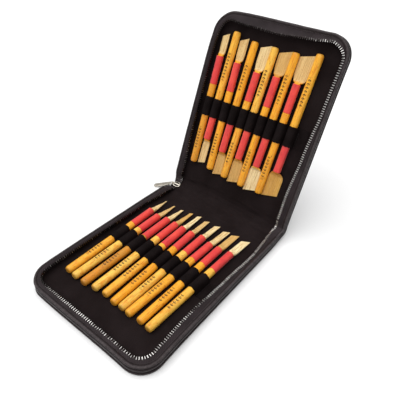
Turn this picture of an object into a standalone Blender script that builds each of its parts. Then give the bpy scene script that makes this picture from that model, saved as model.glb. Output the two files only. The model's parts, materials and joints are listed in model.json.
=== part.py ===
"""A zip-round case of twenty reed calligraphy pens, standing open like a book.

One half of the case lies flat and the other leans back behind it, with a narrow spine between them.
X runs along the spine, +Y runs from the free edge of the lower half towards the spine, and +Z is up.
The origin is the centre of the lower half's underside. Sizes are in metres.

Both halves share one set of shapes, drawn in a half's own terms: x along the spine, s away from its
fold, and d in from the outer face of its cover.
"""

import math

import bmesh
import bpy
from mathutils import Matrix, Vector

MM = 0.001

# Case
CASE_WIDTH = 180 * MM
HALF_LENGTH = 235.5 * MM
CORNER_RADIUS = 26 * MM
CORNER_STEPS = 8
SPINE_WIDTH = 27 * MM
SPINE_TILT = math.radians(19.6)
UPPER_TILT = math.radians(69.3)
FOLD_GAP = 0.9 * MM
EDGE_START = 1.2 * MM
WALL_START = 10 * MM
CHAIN_START = 12 * MM

# Layers of each half, as depths from the outer face
COVER_THICKNESS = 1.2 * MM
BOARD_DEPTHS = (1.5 * MM, 2.5 * MM)
LINING_DEPTHS = (2.7 * MM, 3.2 * MM)
COVER_INSET = 3.4 * MM
BOARD_INSET = 3.6 * MM
LINING_INSET = 3.3 * MM
FOLD_DEPTH = COVER_THICKNESS / 2

# Edge of each half: piping round the cover, a wall, and the zip chain leaning in from its top.
# A profile is a list of (inset, depth) pairs.
PIPING_RADIUS = 1.45 * MM
PIPING_CENTRE = (1.6 * MM, 1.9 * MM)
PIPING_SIDES = 8
WALL_PROFILE = (
    (1.3, 3.7),
    (2.5, 3.7),
    (2.5, 10.6),
    (3.1, 10.9),
    (3.1, 12.3),
    (0.5, 12.3),
    (0.5, 10.9),
    (1.3, 10.6),
)
CHAIN_PROFILE = (
    (3.4, 11.2),
    (9.6, 11.9),
    (9.6, 11.4),
    (12.4, 11.4),
    (12.4, 13.8),
    (9.6, 13.8),
    (9.6, 12.7),
    (3.4, 12.0),
)

# Spine
SPINE_HALF_WIDTH = 87 * MM
SPINE_LINING_MARGIN = 3.4 * MM
END_GUSSET_THICKNESS = 1.0 * MM
END_GUSSET_MARGIN = 4 * MM
END_GUSSET_DEPTHS = (3.6 * MM, 12.4 * MM)
END_GUSSET_X = {"left": -72.9 * MM, "right": 75.9 * MM}

# Pens
PEN_COUNT = 10
PEN_RADIUS = 4.7 * MM
PEN_SIDES = 12
PEN_CLEARANCE = 0.3 * MM
PEN_DEPTH = LINING_DEPTHS[1] + PEN_CLEARANCE + PEN_RADIUS
NECK_RADIUS = 3.8 * MM
GRIP_INNER_RADIUS = 4.1 * MM
GRIP_OUTER_RADIUS = 4.6 * MM
GRIP_END_GAP = 0.3 * MM
LOWER_FIRST_X = -66.6 * MM
UPPER_FIRST_X = -70.7 * MM
PEN_PITCH = 14.0 * MM
LOWER_PEN_END = 196 * MM
UPPER_PEN_ENDS = (31.4 * MM, 208.4 * MM)

# How each pen sits in its loop: its shift along the spine in mm, its turn towards +X in degrees, and
# how far it has slid away from the spine in mm.
LOWER_SEATS = (
    (0.6, -1.0, 0),
    (0.1, 0, 1.2),
    (0.3, -0.3, 1.2),
    (0.6, -0.7, -1.4),
    (0.3, -1.7, -3.0),
    (0.4, -2.0, -1.2),
    (-0.4, -0.35, -2.0),
    (-1.6, 1.2, -1.0),
    (-1.5, 0.1, -2.0),
    (-1.6, 1.3, -1.2),
)
UPPER_SEATS = (
    (1.3, -1.2, 2.0),
    (0.6, 0.5, 3.4),
    (1.1, -1.5, 1.4),
    (0.8, 0.4, -2.2),
    (1.0, 1.0, -0.6),
    (-0.2, 1.2, -2.4),
    (0.0, 1.0, -1.6),
    (-0.6, 1.3, -2.0),
    (-0.5, 1.1, -0.4),
    (-0.1, 1.3, 3.2),
)

# How far each nib sticks out of its grip, and the grip's length, in mm
LOWER_SLEEVES = (
    (30.5, 36),
    (32.9, 35),
    (30.5, 44),
    (33.7, 35),
    (35.9, 40),
    (34.7, 35),
    (33.1, 36),
    (36.7, 34),
    (37.3, 34),
    (35.1, 36),
)
UPPER_SLEEVES = (
    (28.4, 36.5),
    (36.0, 39.7),
    (30.8, 36.5),
    (34.6, 39.7),
    (33.8, 36.5),
    (35.8, 39.7),
    (31.8, 37.5),
    (36.4, 39.7),
    (35.0, 35.5),
    (36.2, 39.7),
)

# Elastic bands
BAND_INNER_RADIUS = PEN_RADIUS + PEN_CLEARANCE
BAND_THICKNESS = 0.6 * MM
BAND_FOOT = 5.7 * MM
BAND_LIP = 6.05 * MM
BAND_ENDS_X = (-80 * MM, 75 * MM)
BAND_ARCH_STEPS = 8
LOWER_BAND_SPAN = (103.4 * MM, 128.4 * MM)
UPPER_BAND_SPAN = (100.9 * MM, 125.9 * MM)

# Zip slider and its pull tab, on the left end of the spine
SLIDER_OUTLINE = (
    (-84, -2.6),
    (-81.5, -4),
    (-77, -4),
    (-74, -2.2),
    (-74, 2.2),
    (-77, 4),
    (-81.5, 4),
    (-84, 2.6),
)
SLIDER_DEPTHS = (3.9 * MM, 7.9 * MM)
SLIDER_ALONG_SPINE = 10.5 * MM
LUG_X = -86.4 * MM
LUG_DEPTH = 6.3 * MM
LUG_RADII = (1.5 * MM, 2.5 * MM)
LUG_THICKNESS = 1.6 * MM
LUG_SIDES = 12
TAB_AZIMUTH = math.radians(29)
TAB_DIP = math.radians(17)
TAB_LENGTH = 29 * MM
TAB_HALF_WIDTH = 3.3 * MM
TAB_THICKNESS = 1.0 * MM
TAB_BAR = 0.6 * MM
TAB_EYE = (2.0 * MM, 3.9 * MM)

FOLD_Y = HALF_LENGTH / 2
LOWER_FOLD = Vector((0, FOLD_Y, FOLD_DEPTH))
UPPER_FOLD = LOWER_FOLD + SPINE_WIDTH * Vector((0, math.cos(SPINE_TILT), math.sin(SPINE_TILT)))


class Pen:
    """One pen's sizes, measured along it from the handle's end."""

    def __init__(self, length, nib_length, grip_length, base_width, tip_width, slant, spade):
        self.length = length
        self.neck_end = length - nib_length
        self.neck_start = self.neck_end - grip_length
        self.base_width = base_width
        self.tip_width = tip_width
        self.slant = slant
        self.spade = spade


def clear_scene():
    for item in list(bpy.data.objects):
        bpy.data.objects.remove(item, do_unlink=True)


def material(name, colour, roughness, metallic=0.0):
    made = bpy.data.materials.new(name)
    made.use_nodes = True
    shader = made.node_tree.nodes["Principled BSDF"]
    shader.inputs["Base Color"].default_value = (*colour, 1)
    shader.inputs["Roughness"].default_value = roughness
    shader.inputs["Metallic"].default_value = metallic
    return made


def loft(rings, closed=False):
    """A closed body through rings of equal length, capped at both ends unless they close on themselves."""
    body = bmesh.new()
    rows = [[body.verts.new(point) for point in ring] for ring in rings]
    pairs = list(zip(rows, rows[1:]))
    if closed:
        pairs.append((rows[-1], rows[0]))
    else:
        body.faces.new(rows[0])
        body.faces.new(rows[-1])
    count = len(rows[0])
    for first, second in pairs:
        for k in range(count):
            after = (k + 1) % count
            body.faces.new((first[k], first[after], second[after], second[k]))
    bmesh.ops.recalc_face_normals(body, faces=body.faces)
    return body


def add_object(name, body, surface, parent=None, place=None, smooth=False):
    mesh = bpy.data.meshes.new(name)
    body.to_mesh(mesh)
    body.free()
    mesh.materials.append(surface)
    if smooth:
        mesh.shade_smooth()
        mesh.set_sharp_from_angle(angle=math.radians(40))
    item = bpy.data.objects.new(name, mesh)
    bpy.context.scene.collection.objects.link(item)
    item.parent = parent
    if place is not None:
        item.matrix_local = place
    return item


def add_empty(name, location, tilt=0.0, parent=None):
    empty = bpy.data.objects.new(name, None)
    bpy.context.scene.collection.objects.link(empty)
    empty.parent = parent
    empty.location = location
    empty.rotation_euler = (tilt, 0, 0)
    empty.empty_display_size = 0.01
    return empty


def half_point(side, x, s, d):
    """A point of a half in the space of its fold: side is -1 for the lower half and 1 for the upper."""
    return Vector((x, side * s, d - FOLD_DEPTH))


def rim_path(inset, start):
    """The (x, s) points round a half's three free edges, from the spine and back to it."""
    edge = CASE_WIDTH / 2 - inset
    centre_x = CASE_WIDTH / 2 - CORNER_RADIUS
    centre_s = HALF_LENGTH - CORNER_RADIUS
    radius = CORNER_RADIUS - inset
    path = [(-edge, start)]
    for corner in (-1, 1):
        for step in range(CORNER_STEPS + 1):
            turn = math.pi / 2 * step / CORNER_STEPS
            angle = math.pi - turn if corner < 0 else math.pi / 2 - turn
            path.append((corner * centre_x + radius * math.cos(angle), centre_s + radius * math.sin(angle)))
    path.append((edge, start))
    return path


def plate(side, inset, start, depths):
    outline = rim_path(inset, start)
    return loft([[half_point(side, x, s, depth) for x, s in outline] for depth in depths])


def rim_sweep(side, profile, start):
    """A body of one profile all the way round the free edges; the profile's points are (inset, depth)."""
    paths = [(rim_path(inset, start), depth) for inset, depth in profile]
    stations = range(len(paths[0][0]))
    return loft([[half_point(side, *path[k], depth) for path, depth in paths] for k in stations])


def in_metres(profile):
    return [(inset * MM, depth * MM) for inset, depth in profile]


def circle(centre, radius, sides):
    turns = [2 * math.pi * (k + 0.5) / sides for k in range(sides)]
    return [(centre[0] + radius * math.cos(turn), centre[1] + radius * math.sin(turn)) for turn in turns]


def elastic_band(side, first_x, seats, span):
    """A band stitched down between the pens and arched over each of them, along the pen's own line."""
    foot = LINING_DEPTHS[1] + PEN_CLEARANCE
    outer_radius = BAND_INNER_RADIUS + BAND_THICKNESS
    pairs = [(0, (BAND_ENDS_X[0], foot), (BAND_ENDS_X[0], foot + BAND_THICKNESS))]
    for k, (shift, turn, _) in enumerate(seats):
        x = first_x + k * PEN_PITCH + shift * MM
        lean = math.tan(math.radians(turn))
        pairs.append((lean, (x - BAND_FOOT, foot), (x - BAND_LIP, foot + BAND_THICKNESS)))
        for step in range(BAND_ARCH_STEPS + 1):
            around = math.pi * (1 - step / BAND_ARCH_STEPS)
            across, up = math.cos(around), math.sin(around)
            inner = (x + BAND_INNER_RADIUS * across, PEN_DEPTH + BAND_INNER_RADIUS * up)
            outer = (x + outer_radius * across, PEN_DEPTH + outer_radius * up)
            pairs.append((lean, inner, outer))
        pairs.append((lean, (x + BAND_FOOT, foot), (x + BAND_LIP, foot + BAND_THICKNESS)))
    pairs.append((0, (BAND_ENDS_X[1], foot), (BAND_ENDS_X[1], foot + BAND_THICKNESS)))
    near, far = span
    rings = []
    for lean, inner, outer in pairs:
        offset = side * lean * (far - near) / 2
        corners = ((inner, near, -offset), (inner, far, offset), (outer, far, offset), (outer, near, -offset))
        rings.append([half_point(side, x + aside, s, d) for (x, d), s, aside in corners])
    return loft(rings)


def round_ring(y, radius):
    turns = [2 * math.pi * (k + 0.5) / PEN_SIDES for k in range(PEN_SIDES)]
    return [Vector((radius * math.cos(turn), y, radius * math.sin(turn))) for turn in turns]


def flat_ring(y, width, thickness, drop, slant=0.0):
    """A nib's section: a rectangle with the same number of points as the round handle."""
    ring = []
    for k in range(PEN_SIDES):
        turn = 2 * math.pi * (k + 0.5) / PEN_SIDES
        across = max(-1.0, min(1.0, 1.45 * math.cos(turn)))
        up = max(-1.0, min(1.0, 1.45 * math.sin(turn)))
        x = across * width / 2
        ring.append(Vector((x, y + slant * x, up * thickness / 2 - drop)))
    return ring


def pen_body(pen):
    """The bamboo: a round handle, a thinner neck for the grip, and a flat nib cut at a slant."""
    rings = [
        round_ring(0, 2.4 * MM),
        round_ring(1.0 * MM, 3.8 * MM),
        round_ring(3.2 * MM, PEN_RADIUS),
        round_ring(pen.neck_start - GRIP_END_GAP, PEN_RADIUS),
        round_ring(pen.neck_start - GRIP_END_GAP + 0.1 * MM, NECK_RADIUS),
        round_ring(pen.neck_end, NECK_RADIUS),
    ]
    tip = pen.length - pen.slant * pen.tip_width / 2
    if pen.spade:
        drop = 3.3 * MM * math.sqrt(pen.tip_width / (19.4 * MM))
        neck_width = 2 * NECK_RADIUS
        spread = pen.tip_width - neck_width
        rings.append(flat_ring(pen.neck_end + 1.5 * MM, neck_width + 0.1 * spread, 3.6 * MM, drop / 2))
        rings.append(flat_ring(pen.neck_end + 5 * MM, neck_width + 0.62 * spread, 2.0 * MM, drop))
        rings.append(flat_ring(pen.neck_end + 8.5 * MM, neck_width + 0.92 * spread, 1.4 * MM, drop))
        rings.append(flat_ring(pen.neck_end + 12 * MM, pen.tip_width, 1.4 * MM, drop))
        rings.append(flat_ring(tip, pen.tip_width, 1.0 * MM, drop, pen.slant))
    else:
        rings.append(flat_ring(pen.neck_end + 1.5 * MM, pen.base_width, 4.4 * MM, 0.6 * MM))
        middle_width = (pen.base_width + pen.tip_width) / 2
        rings.append(flat_ring(pen.neck_end + 7 * MM, middle_width, 2.4 * MM, 1.6 * MM))
        rings.append(flat_ring(tip, pen.tip_width, 0.9 * MM, 2.6 * MM, pen.slant))
    return loft(rings)


def grip_body(pen):
    """The sleeve shrunk over the neck, as a tube whose section goes once round."""
    start = pen.neck_start + GRIP_END_GAP
    end = pen.neck_end - GRIP_END_GAP
    rings = []
    for k in range(PEN_SIDES):
        turn = 2 * math.pi * (k + 0.5) / PEN_SIDES
        across, up = math.cos(turn), math.sin(turn)
        corners = (
            (GRIP_INNER_RADIUS, start),
            (GRIP_OUTER_RADIUS, start),
            (GRIP_OUTER_RADIUS, end),
            (GRIP_INNER_RADIUS, end),
        )
        rings.append([Vector((radius * across, y, radius * up)) for radius, y in corners])
    return loft(rings, closed=True)


def add_pen(name, number, pen, parent, x, y, turn, surfaces):
    """A pen and its grip, whose origin is on the pen's own axis at the handle's end."""
    place = Matrix.Translation((x, y, PEN_DEPTH - FOLD_DEPTH)) @ Matrix.Rotation(turn, 4, "Z")
    add_object(f"{name}_pen_{number:02d}", pen_body(pen), surfaces["bamboo"], parent, place, smooth=True)
    add_object(f"{name}_grip_{number:02d}", grip_body(pen), surfaces["grip"], parent, place, smooth=True)


def add_lower_pens(parent, surfaces):
    """Fine pens, all pointing at the spine, whose nibs widen from left to right."""
    band_y = -sum(LOWER_BAND_SPAN) / 2
    for k, (shift, turn, slid) in enumerate(LOWER_SEATS):
        nib_length, grip_length = LOWER_SLEEVES[k]
        tip_width = (1.3 + 0.97 * k) * MM
        pen = Pen(
            length=(169 + 0.6 * k) * MM,
            nib_length=nib_length * MM,
            grip_length=grip_length * MM,
            base_width=max(6.8 * MM, tip_width),
            tip_width=tip_width,
            slant=0.62,
            spade=False,
        )
        turn = math.radians(turn)
        y = -LOWER_PEN_END - slid * MM
        x = LOWER_FIRST_X + k * PEN_PITCH + shift * MM + math.tan(turn) * (y - band_y)
        add_pen("lower", k + 1, pen, parent, x, y, -turn, surfaces)


def add_upper_pens(parent, surfaces):
    """Broad pens, pointing away from the spine and towards it in turn, broader from left to right."""
    band_y = sum(UPPER_BAND_SPAN) / 2
    for k, (shift, turn, slid) in enumerate(UPPER_SEATS):
        reversed_pen = k % 2 == 1
        nib_length, grip_length = UPPER_SLEEVES[k]
        pen = Pen(
            length=(176.8 + 0.5 * k if reversed_pen else 173.5 + 0.5 * k) * MM,
            nib_length=nib_length * MM,
            grip_length=grip_length * MM,
            base_width=0,
            tip_width=(9.8 + 1.2 * k) * MM,
            slant=0.32 if reversed_pen else 0.45 - 0.02 * k,
            spade=True,
        )
        turn = math.radians(turn)
        y = UPPER_PEN_ENDS[k % 2] + slid * MM
        x = UPPER_FIRST_X + k * PEN_PITCH + shift * MM + math.tan(turn) * (y - band_y)
        add_pen("upper", k + 1, pen, parent, x, y, math.pi - turn if reversed_pen else -turn, surfaces)


def add_half(name, side, fold, band, surfaces):
    """One half of the case: its layers, its edge and its elastic band, hung on its fold."""
    piping = circle(PIPING_CENTRE, PIPING_RADIUS, PIPING_SIDES)
    pieces = (
        ("cover", plate(side, COVER_INSET, FOLD_GAP, (0, COVER_THICKNESS)), "leather"),
        ("board", plate(side, BOARD_INSET, FOLD_GAP, BOARD_DEPTHS), "board"),
        ("lining", plate(side, LINING_INSET, LINING_INSET, LINING_DEPTHS), "lining"),
        ("piping", rim_sweep(side, piping, EDGE_START), "leather"),
        ("gusset", rim_sweep(side, in_metres(WALL_PROFILE), WALL_START), "leather"),
        ("zip_chain", rim_sweep(side, in_metres(CHAIN_PROFILE), CHAIN_START), "zip"),
        ("elastic_band", band, "elastic"),
    )
    for piece, body, surface in pieces:
        add_object(f"{name}_{piece}", body, surfaces[surface], fold)


def box(x_span, y_span, depths):
    """A box in the space of a fold."""
    corners = [(x_span[0], y_span[0]), (x_span[1], y_span[0]), (x_span[1], y_span[1]), (x_span[0], y_span[1])]
    return loft([[half_point(1, x, y, depth) for x, y in corners] for depth in depths])


def add_spine(fold, surfaces):
    """The strip between the two folds, and the short ends of the zip tape that stand on it."""
    across = (-SPINE_HALF_WIDTH, SPINE_HALF_WIDTH)
    cover = box(across, (FOLD_GAP, SPINE_WIDTH - FOLD_GAP), (0, COVER_THICKNESS))
    add_object("spine_cover", cover, surfaces["leather"], fold)
    span = (SPINE_LINING_MARGIN, SPINE_WIDTH - SPINE_LINING_MARGIN)
    lining = box((-CASE_WIDTH / 2 + LINING_INSET, CASE_WIDTH / 2 - LINING_INSET), span, LINING_DEPTHS)
    add_object("spine_lining", lining, surfaces["lining"], fold)
    span = (END_GUSSET_MARGIN, SPINE_WIDTH - END_GUSSET_MARGIN)
    for end, x in END_GUSSET_X.items():
        gusset = box((x, x + END_GUSSET_THICKNESS), span, END_GUSSET_DEPTHS)
        add_object(f"zip_end_gusset_{end}", gusset, surfaces["zip"], fold)


def ring_body(inner, outer, low, high):
    """A flat body with a hole: inner and outer are outlines with the same number of points."""
    rings = []
    for (inner_x, inner_y), (outer_x, outer_y) in zip(inner, outer):
        inner_corners = ((inner_x, inner_y, high), (inner_x, inner_y, low))
        corners = (*inner_corners, (outer_x, outer_y, low), (outer_x, outer_y, high))
        rings.append([Vector(corner) for corner in corners])
    return loft(rings, closed=True)


def add_slider(fold, surfaces):
    """The slider's body with a lug at its outer end, joined by a Boolean whose cutter stays hidden."""
    outline = [(x * MM, SLIDER_ALONG_SPINE + y * MM) for x, y in SLIDER_OUTLINE]
    body = loft([[half_point(1, x, y, depth) for x, y in outline] for depth in SLIDER_DEPTHS])
    slider = add_object("zip_slider", body, surfaces["metal"], fold)
    inner = circle((0, 0), LUG_RADII[0], LUG_SIDES)
    outer = circle((0, 0), LUG_RADII[1], LUG_SIDES)
    lug = ring_body(inner, outer, -LUG_THICKNESS / 2, LUG_THICKNESS / 2)
    lug_centre = (LUG_X, SLIDER_ALONG_SPINE, LUG_DEPTH - FOLD_DEPTH)
    place = Matrix.Translation(lug_centre) @ Matrix.Rotation(math.pi / 2, 4, "X")
    cutter = add_object("slider_lug_shape", lug, surfaces["metal"], fold, place)
    cutter.hide_render = True
    cutter.display_type = "WIRE"
    join = slider.modifiers.new("lug", "BOOLEAN")
    join.operation = "UNION"
    join.object = cutter
    join.solver = "EXACT"


def add_pull_tab(surfaces):
    """The pull tab, whose origin is the pin line through the slider's lug."""
    along = math.cos(SPINE_TILT)
    rise = math.sin(SPINE_TILT)
    depth = LUG_DEPTH - FOLD_DEPTH
    pivot = LOWER_FOLD + Vector(
        (LUG_X, SLIDER_ALONG_SPINE * along - depth * rise, SLIDER_ALONG_SPINE * rise + depth * along)
    )
    pin_line = Vector((-math.sin(TAB_AZIMUTH), math.cos(TAB_AZIMUTH), 0))
    level = Vector((-math.cos(TAB_AZIMUTH), -math.sin(TAB_AZIMUTH), 0))
    lengthwise = level * math.cos(TAB_DIP) - Vector((0, 0, math.sin(TAB_DIP)))
    flat = lengthwise.cross(pin_line)
    place = Matrix((lengthwise, pin_line, flat)).transposed().to_4x4()
    place.translation = pivot
    eye_half, eye_end = TAB_EYE
    end_start = TAB_LENGTH - TAB_HALF_WIDTH
    round_end = TAB_HALF_WIDTH * 0.7
    outer = [
        (-TAB_BAR, -TAB_HALF_WIDTH),
        (end_start, -TAB_HALF_WIDTH),
        (end_start + round_end, -round_end),
        (TAB_LENGTH, 0),
        (end_start + round_end, round_end),
        (end_start, TAB_HALF_WIDTH),
        (-TAB_BAR, TAB_HALF_WIDTH),
        (-TAB_BAR, 0),
    ]
    inner = [
        (TAB_BAR, -eye_half),
        (eye_end * 0.8, -eye_half),
        (eye_end, -eye_half * 0.5),
        (eye_end, 0),
        (eye_end, eye_half * 0.5),
        (eye_end * 0.8, eye_half),
        (TAB_BAR, eye_half),
        (TAB_BAR, 0),
    ]
    tab = ring_body(inner, outer, -TAB_THICKNESS / 2, TAB_THICKNESS / 2)
    add_object("zip_pull_tab", tab, surfaces["metal"], None, place)


def main():
    clear_scene()
    surfaces = {
        "leather": material("leatherette", (0.022, 0.018, 0.021), 0.42),
        "board": material("stiffener_board", (0.25, 0.22, 0.18), 0.8),
        "lining": material("lining_fabric", (0.016, 0.013, 0.016), 0.85),
        "zip": material("zip_tape", (0.02, 0.018, 0.02), 0.6),
        "elastic": material("elastic_webbing", (0.012, 0.010, 0.012), 0.8),
        "metal": material("zip_metal", (0.62, 0.60, 0.58), 0.3, metallic=1.0),
        "bamboo": material("bamboo", (0.85, 0.50, 0.12), 0.4),
        "grip": material("coral_sleeve", (0.85, 0.09, 0.10), 0.45),
    }
    lower_fold = add_empty("lower_fold", LOWER_FOLD)
    spine_fold = add_empty("spine_fold", LOWER_FOLD, SPINE_TILT)
    cover_fold = add_empty("cover_fold", UPPER_FOLD, UPPER_TILT)
    lower_band = elastic_band(-1, LOWER_FIRST_X, LOWER_SEATS, LOWER_BAND_SPAN)
    upper_band = elastic_band(1, UPPER_FIRST_X, UPPER_SEATS, UPPER_BAND_SPAN)
    add_half("lower", -1, lower_fold, lower_band, surfaces)
    add_half("upper", 1, cover_fold, upper_band, surfaces)
    add_spine(spine_fold, surfaces)
    add_lower_pens(lower_fold, surfaces)
    add_upper_pens(cover_fold, surfaces)
    add_slider(spine_fold, surfaces)
    add_pull_tab(surfaces)


main()
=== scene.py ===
"""The looks of a zip-round case of twenty reed calligraphy pens, standing open like a book.

Every piece here is made in the frame that the CAD model gives: X along the spine, +Y from the lower half's
free edge to the spine, +Z up, in metres. A point of the case is given by x along the spine, by its distance
from a fold and by its depth, which is 0 on the outer face of the covers and grows inwards.
"""

import json
import math

import bmesh
import bpy
import numpy as np
from mathutils import Matrix, Vector, noise


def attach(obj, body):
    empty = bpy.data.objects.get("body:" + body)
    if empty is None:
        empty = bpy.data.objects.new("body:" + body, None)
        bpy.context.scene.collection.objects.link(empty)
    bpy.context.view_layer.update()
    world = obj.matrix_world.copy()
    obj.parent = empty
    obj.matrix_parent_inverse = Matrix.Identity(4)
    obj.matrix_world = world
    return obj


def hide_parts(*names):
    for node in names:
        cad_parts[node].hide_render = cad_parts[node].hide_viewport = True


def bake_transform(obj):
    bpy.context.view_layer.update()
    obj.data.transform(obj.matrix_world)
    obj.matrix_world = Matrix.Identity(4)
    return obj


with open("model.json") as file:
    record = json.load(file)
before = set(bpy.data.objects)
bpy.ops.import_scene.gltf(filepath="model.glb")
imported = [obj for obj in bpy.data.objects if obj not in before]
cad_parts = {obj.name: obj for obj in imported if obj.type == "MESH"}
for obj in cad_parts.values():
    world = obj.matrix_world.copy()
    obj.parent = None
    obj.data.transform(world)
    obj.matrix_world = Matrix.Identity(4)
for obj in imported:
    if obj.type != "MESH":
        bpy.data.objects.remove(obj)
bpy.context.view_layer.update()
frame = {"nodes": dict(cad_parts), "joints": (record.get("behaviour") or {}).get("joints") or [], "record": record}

MM = 0.001

# Driving sizes of the case, as in the CAD model
CASE_WIDTH = 180 * MM
HALF_LENGTH = 235.5 * MM
CORNER_RADIUS = 26 * MM
FOLD_DEPTH = 0.6 * MM
LINING_TOP = 3.2 * MM
PEN_RADIUS = 4.7 * MM
PEN_DEPTH = 8.2 * MM
LOWER_BAND_SPAN = (103.4 * MM, 128.4 * MM)
UPPER_BAND_SPAN = (100.9 * MM, 125.9 * MM)
BAND_ENDS_X = (-80 * MM, 75 * MM)
TAB_AZIMUTH = math.radians(29)
TAB_DIP = math.radians(17)
TAB_WIDTH = 6.6 * MM

# How softly the leather and lining turn at the two folds, and where the folds' own pieces begin
FOLD_REACH = (9 * MM, 7.5 * MM)
RIGID_START = 12 * MM

# The centres of the halves' round corners: how far to each side, and how far from the fold
CORNER_X = CASE_WIDTH / 2 - CORNER_RADIUS
CORNER_S = HALF_LENGTH - CORNER_RADIUS

# How far each outer corner of the soft case is pushed out of square, on its left and on its right
CORNER_PUSH = {"lower_half": (-1.6 * MM, 1.8 * MM), "upper_half": (-3.4 * MM, 1.0 * MM)}
CORNER_PUSH_REACH = 34 * MM

joints = {joint["name"]: joint for joint in frame["joints"]}
mounts = {mount["name"]: mount for mount in frame["record"]["mounts"]}
lower_fold = np.array(joints["spine_fold"]["pos_m"])
upper_fold = np.array(joints["cover_fold"]["pos_m"])
SPINE_WIDTH = float(np.linalg.norm(upper_fold - lower_fold))
X_AXIS = np.array([1.0, 0.0, 0.0])


# ---------------------------------------------------------------- small sums


def smooth(x, keys):
    """A value read from (place, value) pairs, eased between them."""
    places = np.array([key[0] for key in keys], float)
    values = np.array([key[1] for key in keys], float)
    x = np.clip(np.asarray(x, float), places[0], places[-1])
    k = np.clip(np.searchsorted(places, x, side="right") - 1, 0, len(places) - 2)
    u = (x - places[k]) / (places[k + 1] - places[k])
    return values[k] + (values[k + 1] - values[k]) * u * u * (3 - 2 * u)


def bell(x, centre, width):
    """1 where x is at the centre, falling away to 0 on both sides."""
    return np.exp(-(((x - centre) / width) ** 2))


def rise(x, reach):
    """0 where x is at or below 0, and 1 from the reach on, in a straight line between."""
    return np.clip(x / reach, 0, 1)


def joined(*parts):
    """Vectors from their components, each an array or one number."""
    return np.stack(np.broadcast_arrays(*parts), axis=-1)


def ripple(points, scale, seed=0.0):
    """Soft noise from -1 to 1 at each point, where scale is the size of a ripple."""
    flat = np.asarray(points, float).reshape(-1, 3) / scale + seed
    values = [noise.noise(Vector(point)) for point in flat.tolist()]
    return np.array(values).reshape(np.shape(points)[:-1])


# ---------------------------------------------------------------- the case's own spaces


class Panel:
    """A flat part of the case: a point on its fold, the way away from the fold, and the way inwards."""

    def __init__(self, body, origin, along, inward):
        self.body = body
        self.origin = origin
        self.along = along
        self.inward = inward

    def at(self, x, s, d):
        x, s, d = (np.asarray(a, float) for a in np.broadcast_arrays(x, s, d))
        for side, push in zip((-1, 1), CORNER_PUSH.get(self.body, ())):
            gap = np.hypot(x - side * CASE_WIDTH / 2, s - HALF_LENGTH)
            shift = push * math.sqrt(0.5) * bell(gap, 0, CORNER_PUSH_REACH)
            x, s = x + side * shift, s + shift
        flat = self.origin + x[..., None] * X_AXIS + s[..., None] * self.along
        return flat + (d - FOLD_DEPTH)[..., None] * self.inward


def tilted(direction):
    """The inward normal of a panel that runs away from the viewer along this direction."""
    return np.array([0.0, -direction[2], direction[1]])


spine_along = (upper_fold - lower_fold) / SPINE_WIDTH
upper_inward = -np.array(mounts["cover_face"]["axis"])
upper_along = np.array([0.0, upper_inward[2], -upper_inward[1]])
lower = Panel("lower_half", lower_fold, np.array([0.0, -1.0, 0.0]), np.array([0.0, 0.0, 1.0]))
spine = Panel("spine", lower_fold, spine_along, tilted(spine_along))
upper = Panel("upper_half", upper_fold, upper_along, upper_inward)
BENDS = (
    math.atan2(spine_along[2], spine_along[1]),
    math.atan2(upper_along[2], upper_along[1]) - math.atan2(spine_along[2], spine_along[1]),
)


def across_folds(x, t, d):
    """A point at t along the outer skin from the lower fold: lower half, spine, then upper half."""
    x, t, d = (np.asarray(a, float) for a in np.broadcast_arrays(x, t, d))
    points = lower.at(x, -t, d)
    points = np.where((t > FOLD_REACH[0])[..., None], spine.at(x, t, d), points)
    points = np.where((t > SPINE_WIDTH + FOLD_REACH[1])[..., None], upper.at(x, t - SPINE_WIDTH, d), points)
    height = d - FOLD_DEPTH
    near, far = FOLD_REACH
    bends = (
        (
            0.0,
            near,
            lower.at(x, near, d),
            lower.at(x, height * math.tan(BENDS[0] / 2), d),
            spine.at(x, near, d),
        ),
        (
            SPINE_WIDTH,
            far,
            spine.at(x, SPINE_WIDTH - far, d),
            spine.at(x, SPINE_WIDTH - height * math.tan(BENDS[1] / 2), d),
            upper.at(x, far, d),
        ),
    )
    for fold, reach, start, corner, end in bends:
        u = np.clip((t - fold + reach) / (2 * reach), 0, 1)[..., None]
        curve = (1 - u) ** 2 * start + 2 * u * (1 - u) * corner + u**2 * end
        points = np.where((np.abs(t - fold) < reach)[..., None], curve, points)
    return points


def half_width(s, inset):
    """Half the width of a half of the case at a distance from its fold, round its two outer corners."""
    radius = CORNER_RADIUS - inset
    past = np.clip(s - CORNER_S, 0, radius)
    return CORNER_X + np.sqrt(radius**2 - past**2)


class Rim:
    """The edge round a half's three free sides, from the spine's left end to its right end."""

    straight = CORNER_S - RIGID_START
    arc = math.pi / 2 * CORNER_RADIUS
    length = 2 * (straight + arc + CORNER_X)

    @classmethod
    def outline(cls, q):
        """x, s and the outward direction (in x, s) at q along the rim, as arrays."""
        q = np.asarray(q, float)
        mirrored = q > cls.length / 2
        p = np.where(mirrored, cls.length - q, q)
        turn = np.clip((p - cls.straight) / CORNER_RADIUS, 0, math.pi / 2)
        out_x, out_s = -np.cos(turn), np.sin(turn)
        x = -CORNER_X + CORNER_RADIUS * out_x + np.clip(p - cls.straight - cls.arc, 0, None)
        s = CORNER_S + CORNER_RADIUS * out_s - np.clip(cls.straight - p, 0, None)
        sign = np.where(mirrored, -1.0, 1.0)
        return x * sign, s, out_x * sign, out_s

    @classmethod
    def place(cls, half, q, inset, d):
        q, inset, d = np.broadcast_arrays(q, inset, d)
        x, s, out_x, out_s = cls.outline(q)
        return half.at(x - inset * out_x, s - inset * out_s, d)


# ---------------------------------------------------------------- meshes


def link(name, data):
    """A new object in the scene."""
    item = bpy.data.objects.new(name, data)
    bpy.context.scene.collection.objects.link(item)
    return item


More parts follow.
